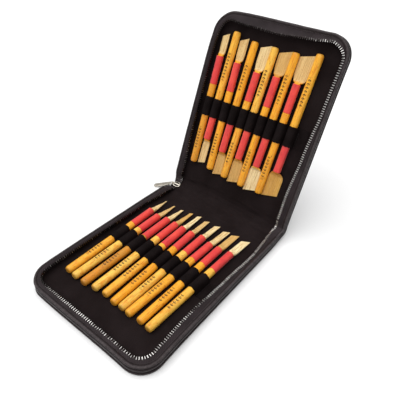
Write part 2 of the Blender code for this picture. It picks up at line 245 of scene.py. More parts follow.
def dress(name, mesh, surface, sharp_degrees, merge=0.0):
    """An object from a mesh, shaded smooth up to an angle, with its normals facing out."""
    body = bmesh.new()
    body.from_mesh(mesh)
    if merge:
        bmesh.ops.remove_doubles(body, verts=body.verts, dist=merge)
    bmesh.ops.recalc_face_normals(body, faces=body.faces)
    body.to_mesh(mesh)
    body.free()
    mesh.materials.clear()
    mesh.materials.append(surface)
    mesh.shade_smooth()
    mesh.set_sharp_from_angle(angle=math.radians(sharp_degrees))
    return link(name, mesh)


def add_mesh(name, points, faces, surface, vectors=None):
    """An object from points and faces. Named vectors are kept on its points."""
    mesh = bpy.data.meshes.new(name)
    mesh.from_pydata(np.asarray(points, float).reshape(-1, 3).tolist(), [], faces)
    for label, values in (vectors or {}).items():
        layer = mesh.attributes.new(label, "FLOAT_VECTOR", "POINT")
        layer.data.foreach_set("vector", np.asarray(values, np.float32).reshape(-1))
    return dress(name, mesh, surface, 50)


def grid_faces(rows, columns, wrap=False, start=0, flip=False):
    """The faces of a grid of points, whose rows close on themselves where wrap is true."""
    faces = []
    for r in range(rows - 1):
        for c in range(columns if wrap else columns - 1):
            after = (c + 1) % columns
            face = (r * columns + c, r * columns + after, (r + 1) * columns + after, (r + 1) * columns + c)
            face = tuple(start + k for k in face)
            faces.append(face[::-1] if flip else face)
    return faces


def loop_faces(rows, columns):
    """The faces of a tube of rings whose last ring joins the first."""
    last = (rows - 1) * columns
    joins = [(last + c, last + (c + 1) % columns, (c + 1) % columns, c) for c in range(columns)]
    return grid_faces(rows, columns, wrap=True) + joins


def add_tube(name, rings, surface, vectors=None):
    """A closed body through rings of points, an array of rows by columns by 3."""
    rows, columns = rings.shape[:2]
    faces = grid_faces(rows, columns, wrap=True)
    faces.append(tuple(range(columns)))
    faces.append(tuple((rows - 1) * columns + c for c in reversed(range(columns))))
    return add_mesh(name, rings, faces, surface, vectors)


def add_slab(name, top, bottom, surface):
    """A closed sheet between two grids of points of equal size."""
    rows, columns = top.shape[:2]
    count = rows * columns
    faces = grid_faces(rows, columns) + grid_faces(rows, columns, start=count, flip=True)
    border = [(0, c) for c in range(columns)]
    border += [(r, columns - 1) for r in range(1, rows)]
    border += [(rows - 1, c) for c in range(columns - 2, -1, -1)]
    border += [(r, 0) for r in range(rows - 2, 0, -1)]
    ids = [r * columns + c for r, c in border]
    for first, second in zip(ids, ids[1:] + ids[:1]):
        faces.append((first, first + count, second + count, second))
    return add_mesh(name, np.concatenate([top.reshape(-1, 3), bottom.reshape(-1, 3)]), faces, surface)


def add_copies(name, template, places, surface, vectors=None):
    """Many copies of one small closed shape in one object. A place is an origin and three axes, as rows.

    A named vector per copy is kept on all of that copy's points.
    """
    points, faces = template
    everything = [origin + points @ axes for origin, axes in places]
    count = len(points)
    all_faces = [tuple(k * count + v for v in face) for k in range(len(places)) for face in faces]
    kept = {label: np.repeat(values, count, axis=0) for label, values in (vectors or {}).items()}
    return add_mesh(name, np.concatenate(everything), all_faces, surface, kept)


def bevelled_box(size, bevel, taper=1.0):
    """Points and faces of a box with bevelled edges, centred, whose +Y end is narrowed by taper."""
    body = bmesh.new()
    bmesh.ops.create_cube(body, size=1.0)
    for vert in body.verts:
        shrink = taper if vert.co.y > 0 else 1.0
        vert.co = Vector((vert.co.x * size[0] * shrink, vert.co.y * size[1], vert.co.z * size[2] * shrink))
    bmesh.ops.bevel(body, geom=body.edges[:], offset=bevel, segments=2, affect="EDGES")
    points = np.array([vert.co[:] for vert in body.verts])
    faces = [tuple(vert.index for vert in face.verts) for face in body.faces]
    body.free()
    return points, faces


def stitch_shape(length, radius):
    """Points and faces of one sewn stitch: a short thread that lies along X and dips in at both ends."""
    stations = ((-1, 0.3, 1.2), (-0.75, 0.85, 0.42), (0, 1, 0), (0.75, 0.85, 0.42), (1, 0.3, 1.2))
    turns = [math.pi * k / 3 for k in range(6)]
    points = []
    for share, width, sink in stations:
        for turn in turns:
            across = width * radius * math.cos(turn)
            points.append((share * length / 2, across, width * radius * math.sin(turn) - sink * radius))
    faces = grid_faces(5, 6, wrap=True) + [(5, 4, 3, 2, 1, 0), (24, 25, 26, 27, 28, 29)]
    return np.array(points), faces


def frames_along(points, sideways):
    """For each point of a line, the origin and the axes along it, across it and away from it."""
    tangent = np.gradient(points, axis=0)
    tangent /= np.linalg.norm(tangent, axis=1)[:, None]
    side = sideways - (sideways * tangent).sum(1)[:, None] * tangent
    side /= np.linalg.norm(side, axis=1)[:, None]
    up = np.cross(tangent, side)
    return [(p, np.array([t, s, u])) for p, t, s, u in zip(points, tangent, side, up)]


def spread(points, pitch):
    """Indices of a dense line's points that lie a pitch apart."""
    steps = np.linalg.norm(np.diff(points, axis=0), axis=1)
    travelled = np.concatenate([[0], np.cumsum(steps)])
    wanted = np.arange(pitch / 2, travelled[-1], pitch)
    return np.searchsorted(travelled, wanted)


# ---------------------------------------------------------------- materials


class Paint:
    """A node material built up from noise, waves and arithmetic on the piece's own coordinates."""

    def __init__(self, name, roughness, metallic=0.0, specular=0.5, sheen=0.0, tint=(1, 1, 1)):
        self.made = bpy.data.materials.new(name)
        self.made.use_nodes = True
        self.nodes = self.made.node_tree.nodes
        self.links = self.made.node_tree.links
        self.inputs = self.nodes["Principled BSDF"].inputs
        self.inputs["Roughness"].default_value = roughness
        self.inputs["Metallic"].default_value = metallic
        self.inputs["Specular IOR Level"].default_value = specular
        self.inputs["Specular Tint"].default_value = (*tint, 1)
        self.inputs["Sheen Weight"].default_value = sheen
        self.inputs["Sheen Roughness"].default_value = 0.4

    def node(self, kind, inputs=None, **settings):
        made = self.nodes.new("ShaderNode" + kind)
        for key, value in settings.items():
            setattr(made, key, value)
        for key, value in (inputs or {}).items():
            if isinstance(value, bpy.types.NodeSocket):
                self.links.new(value, made.inputs[key])
            else:
                made.inputs[key].default_value = value
        return made

    def kept(self, attribute):
        """The vector kept on the piece's points under this name."""
        return self.node("Attribute", attribute_name=attribute).outputs["Vector"]

    def place(self, stretch=(1, 1, 1), attribute=None):
        """The piece's own coordinates in metres, or those kept on its points, stretched."""
        source = self.kept(attribute) if attribute else self.node("TexCoord").outputs["Object"]
        return self.node("Mapping", {"Vector": source, "Scale": stretch}).outputs["Vector"]

    def noise(self, where, scale, detail=3.0, distortion=0.0):
        inputs = {"Vector": where, "Scale": scale, "Detail": detail, "Roughness": 0.55}
        return self.node("TexNoise", {**inputs, "Distortion": distortion}).outputs["Fac"]

    def cells(self, where, scale):
        return self.node("TexVoronoi", {"Vector": where, "Scale": scale}).outputs["Distance"]

    def stripes(self, where, pitch, direction="X", distortion=0.0):
        """Bands that lie a pitch apart."""
        scale = 2 * math.pi / pitch / 20
        inputs = {"Vector": where, "Scale": scale, "Distortion": distortion, "Detail": 1.0}
        return self.node("TexWave", inputs, bands_direction=direction).outputs["Fac"]

    def ramp(self, value, low, high, out_low=0.0, out_high=1.0):
        inputs = {"Value": value, "From Min": low, "From Max": high, "To Min": out_low, "To Max": out_high}
        return self.node("MapRange", inputs, interpolation_type="SMOOTHSTEP").outputs["Result"]

    def math(self, operation, first, second=0.0):
        return self.node("Math", {0: first, 1: second}, operation=operation).outputs[0]

    def times(self, first, second):
        return self.math("MULTIPLY", first, second)

    def mix(self, share, first, second):
        """A colour between two, each a socket or red, green and blue."""
        made = self.nodes.new("ShaderNodeMix")
        made.data_type = "RGBA"
        for key, value in ((0, share), (6, first), (7, second)):
            if isinstance(value, bpy.types.NodeSocket):
                self.links.new(value, made.inputs[key])
            else:
                made.inputs[key].default_value = (*value, 1)
        return made.outputs[2]

    def parts(self, attribute):
        """The three components of the vector kept under this name."""
        return self.node("SeparateXYZ", {0: self.kept(attribute)}).outputs

    def bumps(self, *layers):
        """Bump from (height, strength, distance) layers, each on top of the one before."""
        normal = None
        for height, strength, distance in layers:
            inputs = {"Height": height, "Strength": strength, "Distance": distance}
            if normal is not None:
                inputs["Normal"] = normal
            normal = self.node("Bump", inputs).outputs["Normal"]
        self.links.new(normal, self.inputs["Normal"])

    def finish(self, colour, roughness=None):
        self.links.new(colour, self.inputs["Base Color"])
        if roughness is not None:
            self.links.new(roughness, self.inputs["Roughness"])
        return self.made


# The faint warmth of the case's reflections
WARM_BLACK = (1.0, 0.86, 0.87)


def leatherette():
    """Black leatherette with a fine pebble grain, and a painted highlight along its ridges and piping where the
    vector kept on its points says so.
    """
    paint = Paint("leatherette", 0.4, specular=0.2, tint=WARM_BLACK)
    where = paint.place()
    pebbles = paint.cells(where, 1250)
    creases = paint.noise(where, 260, 4.0)
    broad = paint.noise(where, 35)
    colour = paint.mix(paint.ramp(broad, 0.3, 0.75), (0.010, 0.0065, 0.0070), (0.018, 0.0125, 0.0130))
    colour = paint.mix(paint.ramp(pebbles, 0.25, 0.62), colour, (0.005, 0.003, 0.0035))
    # Painted highlight: the leather is made paler along the ridges and piping, where light would catch them
    highlight_mask = paint.times(paint.parts("painted_highlight")[0], paint.ramp(creases, 0.25, 0.7, 0.35, 1.0))
    colour = paint.mix(highlight_mask, colour, (0.120, 0.102, 0.104))
    rough = paint.ramp(creases, 0.3, 0.7, 0.27, 0.46)
    paint.bumps((creases, 0.5, 0.0008), (pebbles, 0.5, 0.00025))
    return paint.finish(colour, rough)


def lining_cloth():
    """Black plain-woven cloth: threads at right angles, with slubs and faint broad shading."""
    paint = Paint("lining_cloth", 0.9, specular=0.06, sheen=0.02)
    dark, pale = (0.0125, 0.0080, 0.0080), (0.021, 0.0145, 0.0150)
    where = paint.place()
    across, along, up = (paint.stripes(where, 0.55 * MM, direction) for direction in "XYZ")
    threads = paint.times(across, paint.math("MAXIMUM", along, up))
    slubs = paint.noise(paint.place((1, 0.15, 0.15)), 900)
    broad = paint.noise(where, 28)
    shade = paint.mix(paint.ramp(broad, 0.3, 0.72), dark, pale)
    colour = paint.mix(paint.ramp(threads, 0.1, 0.8, 0.55, 0.0), shade, tuple(0.5 * c for c in dark))
    colour = paint.mix(paint.ramp(slubs, 0.62, 0.8, 0.0, 0.35), colour, tuple(1.7 * c for c in pale))
    paint.bumps((broad, 0.3, 0.0008), (slubs, 0.25, 0.0002), (threads, 0.35, 0.00018))
    return paint.finish(colour)


def elastic():
    """Black elastic webbing: cords along its length, with the weft's fine cross lines between them."""
    paint = Paint("elastic_webbing", 0.72, specular=0.06)
    where = paint.place()
    weft = paint.stripes(where, 0.7 * MM, "X", 0.6)
    fuzz = paint.noise(where, 1500)
    broad = paint.noise(where, 60, 2.0)
    colour = paint.mix(paint.ramp(broad, 0.3, 0.7), (0.0060, 0.0035, 0.0035), (0.0120, 0.0078, 0.0080))
    colour = paint.mix(paint.ramp(weft, 0.2, 0.8, 0.5, 0.0), colour, (0.003, 0.002, 0.002))
    paint.bumps((fuzz, 0.3, 0.00015), (weft, 0.5, 0.00015))
    return paint.finish(colour, paint.ramp(fuzz, 0.3, 0.7, 0.62, 0.85))


def zip_tape():
    """Black zip tape in a herringbone weave, with a slight gloss."""
    paint = Paint("zip_tape", 0.6, specular=0.2, sheen=0.03, tint=WARM_BLACK)
    where = paint.place()
    rows = paint.stripes(where, 1.1 * MM, "DIAGONAL", 0.4)
    threads = paint.noise(where, 1400, 2.0)
    broad = paint.noise(where, 45, 2.0)
    colour = paint.mix(paint.ramp(broad, 0.3, 0.7), (0.016, 0.012, 0.013), (0.030, 0.023, 0.025))
    colour = paint.mix(paint.ramp(rows, 0.2, 0.8, 0.45, 0.0), colour, (0.006, 0.004, 0.005))
    paint.bumps((threads, 0.25, 0.00015), (rows, 0.45, 0.0002))
    return paint.finish(colour)


def nickel(name, bright, dull):
    """Plated zip metal, with fine scratches and duller patches."""
    paint = Paint(name, 0.26, metallic=1.0)
    where = paint.place()
    scratches = paint.noise(paint.place((1, 6, 1)), 900)
    patches = paint.noise(where, 160, 2.0)
    colour = paint.mix(paint.ramp(patches, 0.3, 0.7), bright, dull)
    paint.bumps((scratches, 0.15, 0.00008))
    return paint.finish(colour, paint.ramp(scratches, 0.3, 0.7, 0.18, 0.38))


def tooth_metal():
    """Zip teeth from dark to bright metal, as the vector kept on each tooth says: painted reflection where they
    glint, painted shade where they face the dark inside of the case.
    """
    paint = Paint("zip_teeth", 0.3, metallic=1.0)
    patches = paint.noise(paint.place(), 420, 2.0)
    # Painted reflection and painted shade: the tooth's share of bright metal, with random patches
    painted_glint = paint.math("ADD", paint.parts("painted_glint")[0], paint.ramp(patches, 0.3, 0.7, -0.25, 0.25))
    shown = paint.ramp(painted_glint, 0.25, 0.95)
    colour = paint.mix(shown, (0.060, 0.050, 0.048), (0.82, 0.80, 0.77))
    paint.bumps((patches, 0.2, 0.0001))
    return paint.finish(colour, paint.ramp(patches, 0.3, 0.7, 0.22, 0.4))


def thread():
    """Black sewing thread, twisted."""
    paint = Paint("sewing_thread", 0.6, specular=0.35, sheen=0.15)
    twist = paint.stripes(paint.place(), 0.5 * MM, "DIAGONAL")
    colour = paint.mix(twist, (0.015, 0.012, 0.013), (0.045, 0.038, 0.041))
    paint.bumps((twist, 0.5, 0.0001))
    return paint.finish(colour)


def board():
    """Grey-brown pressed board."""
    paint = Paint("stiffener_board", 0.85, specular=0.2)
    fibres = paint.noise(paint.place((1, 0.3, 1)), 700, 4.0)
    colour = paint.mix(fibres, (0.20, 0.17, 0.13), (0.32, 0.28, 0.22))
    paint.bumps((fibres, 0.4, 0.0002))
    return paint.finish(colour)


MARK_PITCH = 4.2 * MM


def burned_marks(paint):
    """A row of small burned chevrons with a dot before each, from the "mark" kept on the points.

    It holds the point's way round the handle, its way along the zone of marks, and how clear they are there.
    """
    aside, along, shown = paint.parts("mark")
    aside = paint.math("ABSOLUTE", aside)
    cell = paint.math("FRACT", paint.times(along, 1 / MARK_PITCH))
    lean = paint.math("ADD", cell, paint.times(aside, -0.13 / MM))
    stroke = paint.math("ABSOLUTE", paint.math("SUBTRACT", lean, 0.30))
    wide = paint.ramp(aside, 1.75 * MM, 2.0 * MM, 1, 0)
    chevron = paint.times(paint.ramp(stroke, 0.15, 0.21, 1, 0), wide)
    from_dot = paint.math("ABSOLUTE", paint.math("SUBTRACT", cell, 0.78))
    dot = paint.math("ADD", paint.times(from_dot, MARK_PITCH / MM), paint.times(aside, 1 / MM))
    return paint.times(paint.math("MAXIMUM", chevron, paint.ramp(dot, 0.55, 0.85, 1, 0)), shown)


def bamboo():
    """Bamboo: a glossy golden skin on the handle and bare pale wood on the carved nib, with long fibres.

    Each point keeps "grain", its place on its own pen, "cane": how far the skin is carved away, the pen's
    tone, and how much darker it is made towards the handle's end, and "mark", its place in the zone of burned
    marks.
    """
    paint = Paint("bamboo", 0.35, specular=0.35)
    fine = paint.noise(paint.place((1, 0.035, 1), "grain"), 3600)
    streaks = paint.noise(paint.place((1, 0.04, 1), "grain"), 800, distortion=0.3)
    clouds = paint.noise(paint.place((1, 0.4, 1), "grain"), 300)
    specks = paint.noise(paint.place((1, 0.3, 1), "grain"), 900, 2.0)
    pores = paint.cells(paint.place((1, 0.22, 1), "grain"), 1100)
    carved, tone, end_darkening = paint.parts("cane")
    skin = paint.mix(paint.ramp(tone, 0.0, 0.5), (0.90, 0.56, 0.095), (0.90, 0.40, 0.018))
    skin = paint.mix(paint.ramp(tone, 0.5, 1.0), skin, (0.42, 0.165, 0.030))
    skin = paint.mix(paint.ramp(clouds, 0.45, 0.7, 0.0, 0.75), skin, (0.78, 0.26, 0.010))
    skin = paint.mix(paint.ramp(streaks, 0.5, 0.8, 0.0, 0.75), skin, (0.40, 0.12, 0.008))
    skin = paint.mix(paint.ramp(fine, 0.5, 0.8, 0.0, 0.3), skin, (0.98, 0.70, 0.16))
    skin = paint.mix(paint.ramp(specks, 0.62, 0.74, 0.0, 0.8), skin, (0.22, 0.055, 0.006))
    wood = paint.mix(tone, (0.93, 0.79, 0.45), (0.60, 0.31, 0.045))
    wood = paint.mix(paint.ramp(streaks, 0.4, 0.7, 0.0, 0.75), wood, (0.46, 0.225, 0.045))
    wood = paint.mix(paint.ramp(fine, 0.5, 0.75, 0.0, 0.35), wood, (0.92, 0.74, 0.40))
    wood = paint.mix(paint.ramp(pores, 0.03, 0.3, 0.8, 0.0), wood, (0.20, 0.105, 0.03))
    frayed = paint.math("ADD", carved, paint.ramp(streaks, 0.2, 0.8, -0.3, 0.3))
    bare = paint.ramp(frayed, 0.4, 0.7)
    colour = paint.mix(bare, skin, wood)
    # Darker towards the handle's domed end
    colour = paint.mix(end_darkening, colour, (0.16, 0.050, 0.010))
    singed = paint.times(burned_marks(paint), paint.ramp(fine, 0.3, 0.75, 1.0, 0.7))
    colour = paint.mix(singed, colour, (0.030, 0.009, 0.003))
    rough = paint.math("ADD", paint.ramp(bare, 0.0, 1.0, 0.30, 0.6), paint.ramp(fine, 0.3, 0.7, -0.04, 0.08))
    paint.bumps((streaks, 0.3, 0.0003), (fine, 0.35, 0.00012))
    return paint.finish(colour, rough)


def coral_sleeve():
    """The coral sleeve: shrunk satin-finish tubing with a faint crosswise texture."""
    paint = Paint("coral_sleeve", 0.4, specular=0.45, sheen=0.2)
    fine = paint.noise(paint.place((1, 0.8, 1), "grain"), 1700)
    creases = paint.noise(paint.place((1, 0.3, 1), "grain"), 420)
    broad = paint.noise(paint.place((1, 0.5, 1), "grain"), 90, 2.0)
    colour = paint.mix(paint.ramp(broad, 0.3, 0.75), (0.68, 0.038, 0.040), (0.82, 0.070, 0.046))
    colour = paint.mix(paint.ramp(fine, 0.55, 0.8, 0.0, 0.5), colour, (0.84, 0.15, 0.11))
    colour = paint.mix(paint.ramp(creases, 0.52, 0.8, 0.0, 0.55), colour, (0.34, 0.012, 0.022))
    paint.bumps((creases, 0.3, 0.0004), (fine, 0.35, 0.00015))
    return paint.finish(colour, paint.ramp(fine, 0.3, 0.7, 0.33, 0.5))


def studio_floor():
    paint = Paint("studio_floor", 0.7, specular=0.2)
    mottle = paint.noise(paint.place(), 8, 2.0)
    return paint.finish(paint.mix(mottle, (0.90, 0.90, 0.90), (0.93, 0.93, 0.93)))


LEATHER = leatherette()
LINING = lining_cloth()
ELASTIC = elastic()
TAPE = zip_tape()
METAL = nickel("zip_metal", (0.70, 0.65, 0.56), (0.46, 0.42, 0.35))
DARK_METAL = nickel("slider_black", (0.050, 0.044, 0.043), (0.022, 0.019, 0.019))
TEETH = tooth_metal()
THREAD = thread()
BOARD = board()
BAMBOO = bamboo()
CORAL = coral_sleeve()


# ---------------------------------------------------------------- camera, light and floor


CAMERA_PLACE = (0.23715, -0.25164, 0.36493)
CAMERA_LENS = 37.98
# How far the camera turns from facing +Y, how far it looks down, and its roll
CAMERA_YAW, CAMERA_PITCH, CAMERA_ROLL = (math.radians(angle) for angle in (35.941, 37.778, 3.434))


def add_camera():
    """A camera above and in front of the right-hand side, at the photograph's angle."""
    data = bpy.data.cameras.new("camera")
    data.lens = CAMERA_LENS
    data.sensor_width = 36
    data.clip_start = 0.01
    camera = link("camera", data)
    camera.location = CAMERA_PLACE
    turn = Matrix.Rotation(CAMERA_YAW, 3, "Z") @ Matrix.Rotation(math.pi / 2 - CAMERA_PITCH, 3, "X")
    camera.rotation_euler = (turn @ Matrix.Rotation(CAMERA_ROLL, 3, "Z")).to_euler()
    bpy.context.scene.camera = camera


def add_studio():
    """A white floor and world, with one very soft light from the upper left."""
    body = bmesh.new()
    bmesh.ops.create_grid(body, x_segments=8, y_segments=8, size=6.0)
    mesh = bpy.data.meshes.new("studio_floor")
    body.to_mesh(mesh)
    body.free()
    mesh.materials.append(studio_floor())
    floor = link("studio_floor", mesh)
    floor.location.z = -0.2 * MM
    world = bpy.data.worlds.new("studio")
    world.use_nodes = True
    inputs = world.node_tree.nodes["Background"].inputs
    inputs["Color"].default_value = (1.0, 1.0, 1.0, 1)
    inputs["Strength"].default_value = 0.55
    bpy.context.scene.world = world
    data = bpy.data.lights.new("key", "SUN")
    data.angle = math.radians(75)
    data.energy = 2.5
    link("key", data).rotation_euler = Vector((-0.14, -0.26, 1.0)).to_track_quat("Z", "Y").to_euler()
    bpy.context.scene.view_settings.view_transform = "Standard"


# ---------------------------------------------------------------- covers and lining


def stand_for(nodes):
    """Hides these CAD nodes, which the piece stands for."""
    if nodes:
        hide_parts(*nodes)


def settle(item, body, slot, *nodes):
    """The piece rides on its body."""
    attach(item, body)
    stand_for(nodes)


def bend(item, lower_side, slot, *nodes):
    """Bakes the piece's transform into its mesh and hides the CAD nodes it stands for."""
    if lower_side:
        first, second, start, end = lower, spine, lower.at(0, 10 * MM, 0), spine.at(0, 10 * MM, 0)
    else:
        first, second, start, end = spine, upper, spine.at(0, SPINE_WIDTH - 9 * MM, 0), upper.at(0, 9 * MM, 0)
    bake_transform(item)
    stand_for(nodes)


def panel_grid(inset, rows=72, columns=60):
    """x and s over a half, denser towards its edges, and each point's distance from the edge."""
    share = np.linspace(0, 1, rows)
    share = np.where(share > 0.8, 1 - (1 - share) ** 2 / 0.2 * 0.55 - (1 - share) * 0.45, share)
    s = RIGID_START + share * (HALF_LENGTH - inset - RIGID_START)
    ease = np.linspace(-1, 1, columns)
    ease = np.sign(ease) * (1 - (1 - np.abs(ease)) ** 1.25)
    s, ease = np.meshgrid(s, ease, indexing="ij")
    x = half_width(s, inset) * ease
    past_x, past_s = np.abs(x) - CORNER_X, s - CORNER_S
    round_corner = CORNER_RADIUS - inset - np.hypot(np.maximum(past_x, 0), np.maximum(past_s, 0))
    straight = CORNER_RADIUS - inset - np.maximum(past_x, past_s)
    inside = (past_x < 0) & (past_s < 0)
    return x, s, np.where(inside, straight, np.maximum(round_corner, 0))


# How far in the leather cover, and the lining, start from the case's edge
COVER_EDGE = 1.7 * MM
LINING_EDGE = 2.5 * MM
# The depth of the leather cover's inner face, and the thickness of the lining
COVER_INNER = 1.5 * MM
CLOTH = 0.4 * MM


def turned_edge(to_edge):
    """How the outer skin turns up to the piping at its edge."""
    return 0.9 * MM * np.exp(-to_edge / (1.3 * MM))


def add_cover(half, name):
    """The leather cover, with a pressed line along its edge, and padded where it isn't resting."""
    x, s, to_edge = panel_grid(COVER_EDGE)
    from_fold = rise(s - RIGID_START, 14 * MM)
    crown = 0.8 * MM * (1 - np.exp(-to_edge / (16 * MM)))
    soft = ripple(half.at(x, s, 0 * x), 26 * MM, 3.1) * 0.25 * MM
    pressed = 0.35 * MM * bell(to_edge, 3.4 * MM, 0.7 * MM)
    padding = (crown + soft) * (to_edge > 0) * (half is upper)
    outer = half.at(x, s, turned_edge(to_edge) + from_fold * (pressed - padding))
    inner = half.at(x * 0.999, s, COVER_INNER)
    settle(add_slab(f"{name}_leather_cover", inner, outer, LEATHER), half.body, "leather", f"{name}_cover")


def lining_depth(points, to_edge):
    """The lining's upper face, which rises in a cove to the wall and puckers a little."""
    cove = 1.6 * MM * np.exp(-np.maximum(to_edge, 0) / (1.1 * MM))
    puckers = ripple(points, 17 * MM, 7.7) * 0.16 * MM + ripple(points, 5 * MM, 1.3) * 0.05 * MM
    return LINING_TOP + cove + puckers * rise(to_edge, 6 * MM)


def add_lining(half, name):
    """The lining of a half, cut to its round corners."""
    x, s, to_edge = panel_grid(LINING_EDGE)
    top = lining_depth(half.at(x, s, 0 * x), to_edge)
    item = add_slab(f"{name}_lining_cloth", half.at(x, s, top), half.at(x, s, top - CLOTH), LINING)
    settle(item, half.body, "lining", f"{name}_lining")


def spine_pinch(t, sign):
    """How far the case draws in at the spine's slack left end, and bulges at its right end."""
    drawn = 2.4 * MM * bell(t, SPINE_WIDTH / 2, 8.5 * MM)
    bulge = -1.3 * MM * bell(t, 0.8 * SPINE_WIDTH, 8.5 * MM)
    return np.where(np.asarray(sign) < 0, drawn, bulge)


FOLD_SPANS = {"lower": (-RIGID_START, SPINE_WIDTH / 2), "upper": (SPINE_WIDTH / 2, SPINE_WIDTH + RIGID_START)}


def within_folds(t, reach):
    """1 over the folds, fading to 0 over this reach where the folds' own pieces meet the halves."""
    return rise(t + RIGID_START, reach) * rise(SPINE_WIDTH + RIGID_START - t, reach)


def lining_roll(x, t):
    """How high the slack lining stands off the spine: a soft roll, then a valley."""
    swell = 3.4 * MM * bell(t, 9 * MM, 8 * MM) - 0.9 * MM * bell(t, 26 * MM, 4.5 * MM)
    drift = joined(x * 0.35 + t * 0.5, t * 1.6, 0)
    wrinkles = ripple(drift, 9 * MM, 2.2) * 1.0 * MM + ripple(joined(x, t, 0), 5 * MM, 5.1) * 0.3 * MM
    ends = np.clip((CASE_WIDTH / 2 - 3 * MM - np.abs(x)) / (12 * MM), 0.15, 1)
    fade = within_folds(t, 8 * MM)
    return (swell * ends + wrinkles) * fade * fade * (3 - 2 * fade)


def add_fold(name):
    """The leather and the lining that cross one fold, out to the middle of the spine."""
    start, end = FOLD_SPANS[name]
    t, ease = np.meshgrid(np.linspace(start, end, 36), np.linspace(-1, 1, 110), indexing="ij")
    reach = CASE_WIDTH / 2 - spine_pinch(t, ease) - COVER_EDGE
    x = ease * reach
    near_fold = bell(t, 0, 5 * MM) + bell(t, SPINE_WIDTH, 5 * MM)
    wrinkles = ripple(joined(x * 0.5, t * 2.2, 0), 6 * MM, 9.4) * 0.35 * MM
    wrinkles = np.maximum(wrinkles * (0.3 + near_fold) * within_folds(t, 6 * MM), -0.1 * MM)
    outer = across_folds(x, t, turned_edge(reach - np.abs(x)) + wrinkles)
    leather = add_slab(f"{name}_fold_leather", across_folds(x * 0.999, t, COVER_INNER), outer, LEATHER)
    bend(leather, name == "lower", "leather", *(["spine_cover"] if name == "lower" else []))
    reach = CASE_WIDTH / 2 - spine_pinch(t, ease) - LINING_EDGE
    x = ease * reach
    top = lining_depth(across_folds(x, t, 0), reach - np.abs(x)) + lining_roll(x, t)
    under = across_folds(x, t, top - CLOTH)
    cloth = add_slab(f"{name}_fold_lining", across_folds(x, t, top), under, LINING)
    bend(cloth, name == "lower", "lining", *(["spine_lining"] if name == "upper" else []))


# ---------------------------------------------------------------- the wall, its seam, the tape and its teeth

# The wall's section as (inset, depth) in mm: up its outer side, over the seam's ridge and down its inner side
WALL_SECTION = (
    (2.5, 2.6), (2.3, 3.3), (1.3, 4.0), (0.65, 5.2), (0.5, 6.6), (0.75, 8.0), (1.5, 9.1), (2.3, 9.6),
    (2.2, 10.1), (1.2, 10.4), (0.5, 11.0), (0.3, 11.8), (0.7, 12.6), (1.6, 13.0), (2.8, 13.0), (4.0, 12.75),
    (4.9, 12.3), (4.9, 11.7), (3.4, 11.0), (2.7, 6.4), (2.8, 4.4), (3.1, 3.0),
)
# The depth in mm where the wall starts to give in height, and the section's point on the ridge
WALL_FOOT = 3.0
RIDGE_POINT = 13
# The painted highlight at points of the wall's section, and of the piping on its outer side, where light catches
# the ridges
WALL_HIGHLIGHT = {4: 0.12, 11: 0.15, 12: 0.45, 13: 0.55, 14: 0.1, 16: 0.45}
PIPING_HIGHLIGHT = {5: 0.2, 6: 0.25}

# Where the zip tape's toothed edge lies round each half, as (share of the rim, inset mm, depth mm, arch mm).
# A positive arch bows the tape outwards and tucks its teeth down, and a negative one makes it sag.
TAPE_EDGES = {
    "lower": (
        (0.00, 10.5, 9.6, 1.0),
        (0.08, 8.4, 10.6, 1.7),
        (0.22, 7.8, 10.8, 1.8),
        (0.33, 7.6, 11.4, 1.2),
        (0.40, 8.6, 12.3, 0.1),
        (0.46, 8.7, 12.6, -0.4),
        (0.58, 8.6, 12.4, -0.5),
        (0.68, 10.4, 12.2, -0.5),
        (0.76, 11.6, 12.2, -0.5),
        (0.86, 9.0, 12.8, -0.4),
        (0.94, 6.6, 13.6, -0.2),
        (1.00, 9.6, 12.4, -0.4),
    ),
    "upper": (
        (0.00, 10.0, 10.2, 1.0),
        (0.10, 8.0, 11.2, 1.8),
        (0.30, 7.6, 11.4, 1.8),
        (0.37, 9.5, 12.0, 1.2),
        (0.43, 13.4, 13.7, 0.2),
        (0.50, 14.6, 13.4, -0.6),
        (0.56, 11.8, 13.0, -0.6),
        (0.62, 8.5, 13.5, -0.4),
        (0.68, 4.2, 14.0, 0.0),
        (0.76, 5.0, 14.0, 0.0),
        (0.86, 8.8, 13.2, -0.4),
        (0.95, 12.0, 12.2, -0.5),
        (1.00, 11.6, 12.0, -0.5),
    ),
}
# How far the wall stands above its usual height, as (share of the rim, mm)
WALL_RISE = {
    "lower": ((0.0, 0.0), (0.08, 0.6), (0.3, 0.6), (0.38, 0.2), (0.6, 0.0), (0.9, 0.4), (1.0, 0.0)),
    "upper": ((0.0, 0.0), (0.1, 0.7), (0.28, 0.8), (0.36, 0.0), (0.5, 0.3), (0.7, 0.6), (0.9, 0.5), (1, 0.0)),
}
# The tape's toothed edge across the folds, as (mm from the lower fold, inset mm, depth mm, arch mm)
FOLD_EDGES = {
    "left": (
        (-12, 10.5, 9.6, 1.0),
        (-5, 10.5, 8.6, 0.6),
        (4, 10.8, 6.6, 0.0),
        (10.5, 11.0, 6.0, 0.0),
        (18, 10.8, 6.8, 0.0),
        (28, 10.2, 8.6, 0.6),
        (39, 10.0, 10.2, 1.0),
    ),
    "right": (
        (-12, 9.6, 12.4, -0.4),
        (-4, 10.8, 11.2, -0.3),
        (6, 11.9, 9.6, -0.2),
        (13.5, 12.2, 9.0, -0.2),
        (21, 12.2, 9.6, -0.2),
        (30, 12.0, 11.0, -0.4),
        (39, 11.6, 12.0, -0.5),
    ),
}
# How much of the wall's height is left across the folds, as (mm from the lower fold, share)
FOLD_HEIGHTS = {
    "left": (
        (-12, 1.0), (-4, 0.78), (2, 0.48), (6.2, 0.08), (14.8, 0.08),
        (19, 0.48), (26, 0.74), (32, 0.85), (39, 1.0),
    ),
    "right": ((-12, 1.0), (-3, 0.95), (6, 0.82), (13.5, 0.75), (21, 0.82), (31, 0.95), (39, 1.0)),
}
# Where the tape leaves the wall and where the piping lies, as (inset, depth) in mm
TAPE_ROOT = np.array([2.9, 11.6])
PIPING_CENTRE = (1.6, 1.9)
PIPING_RADIUS = 1.45
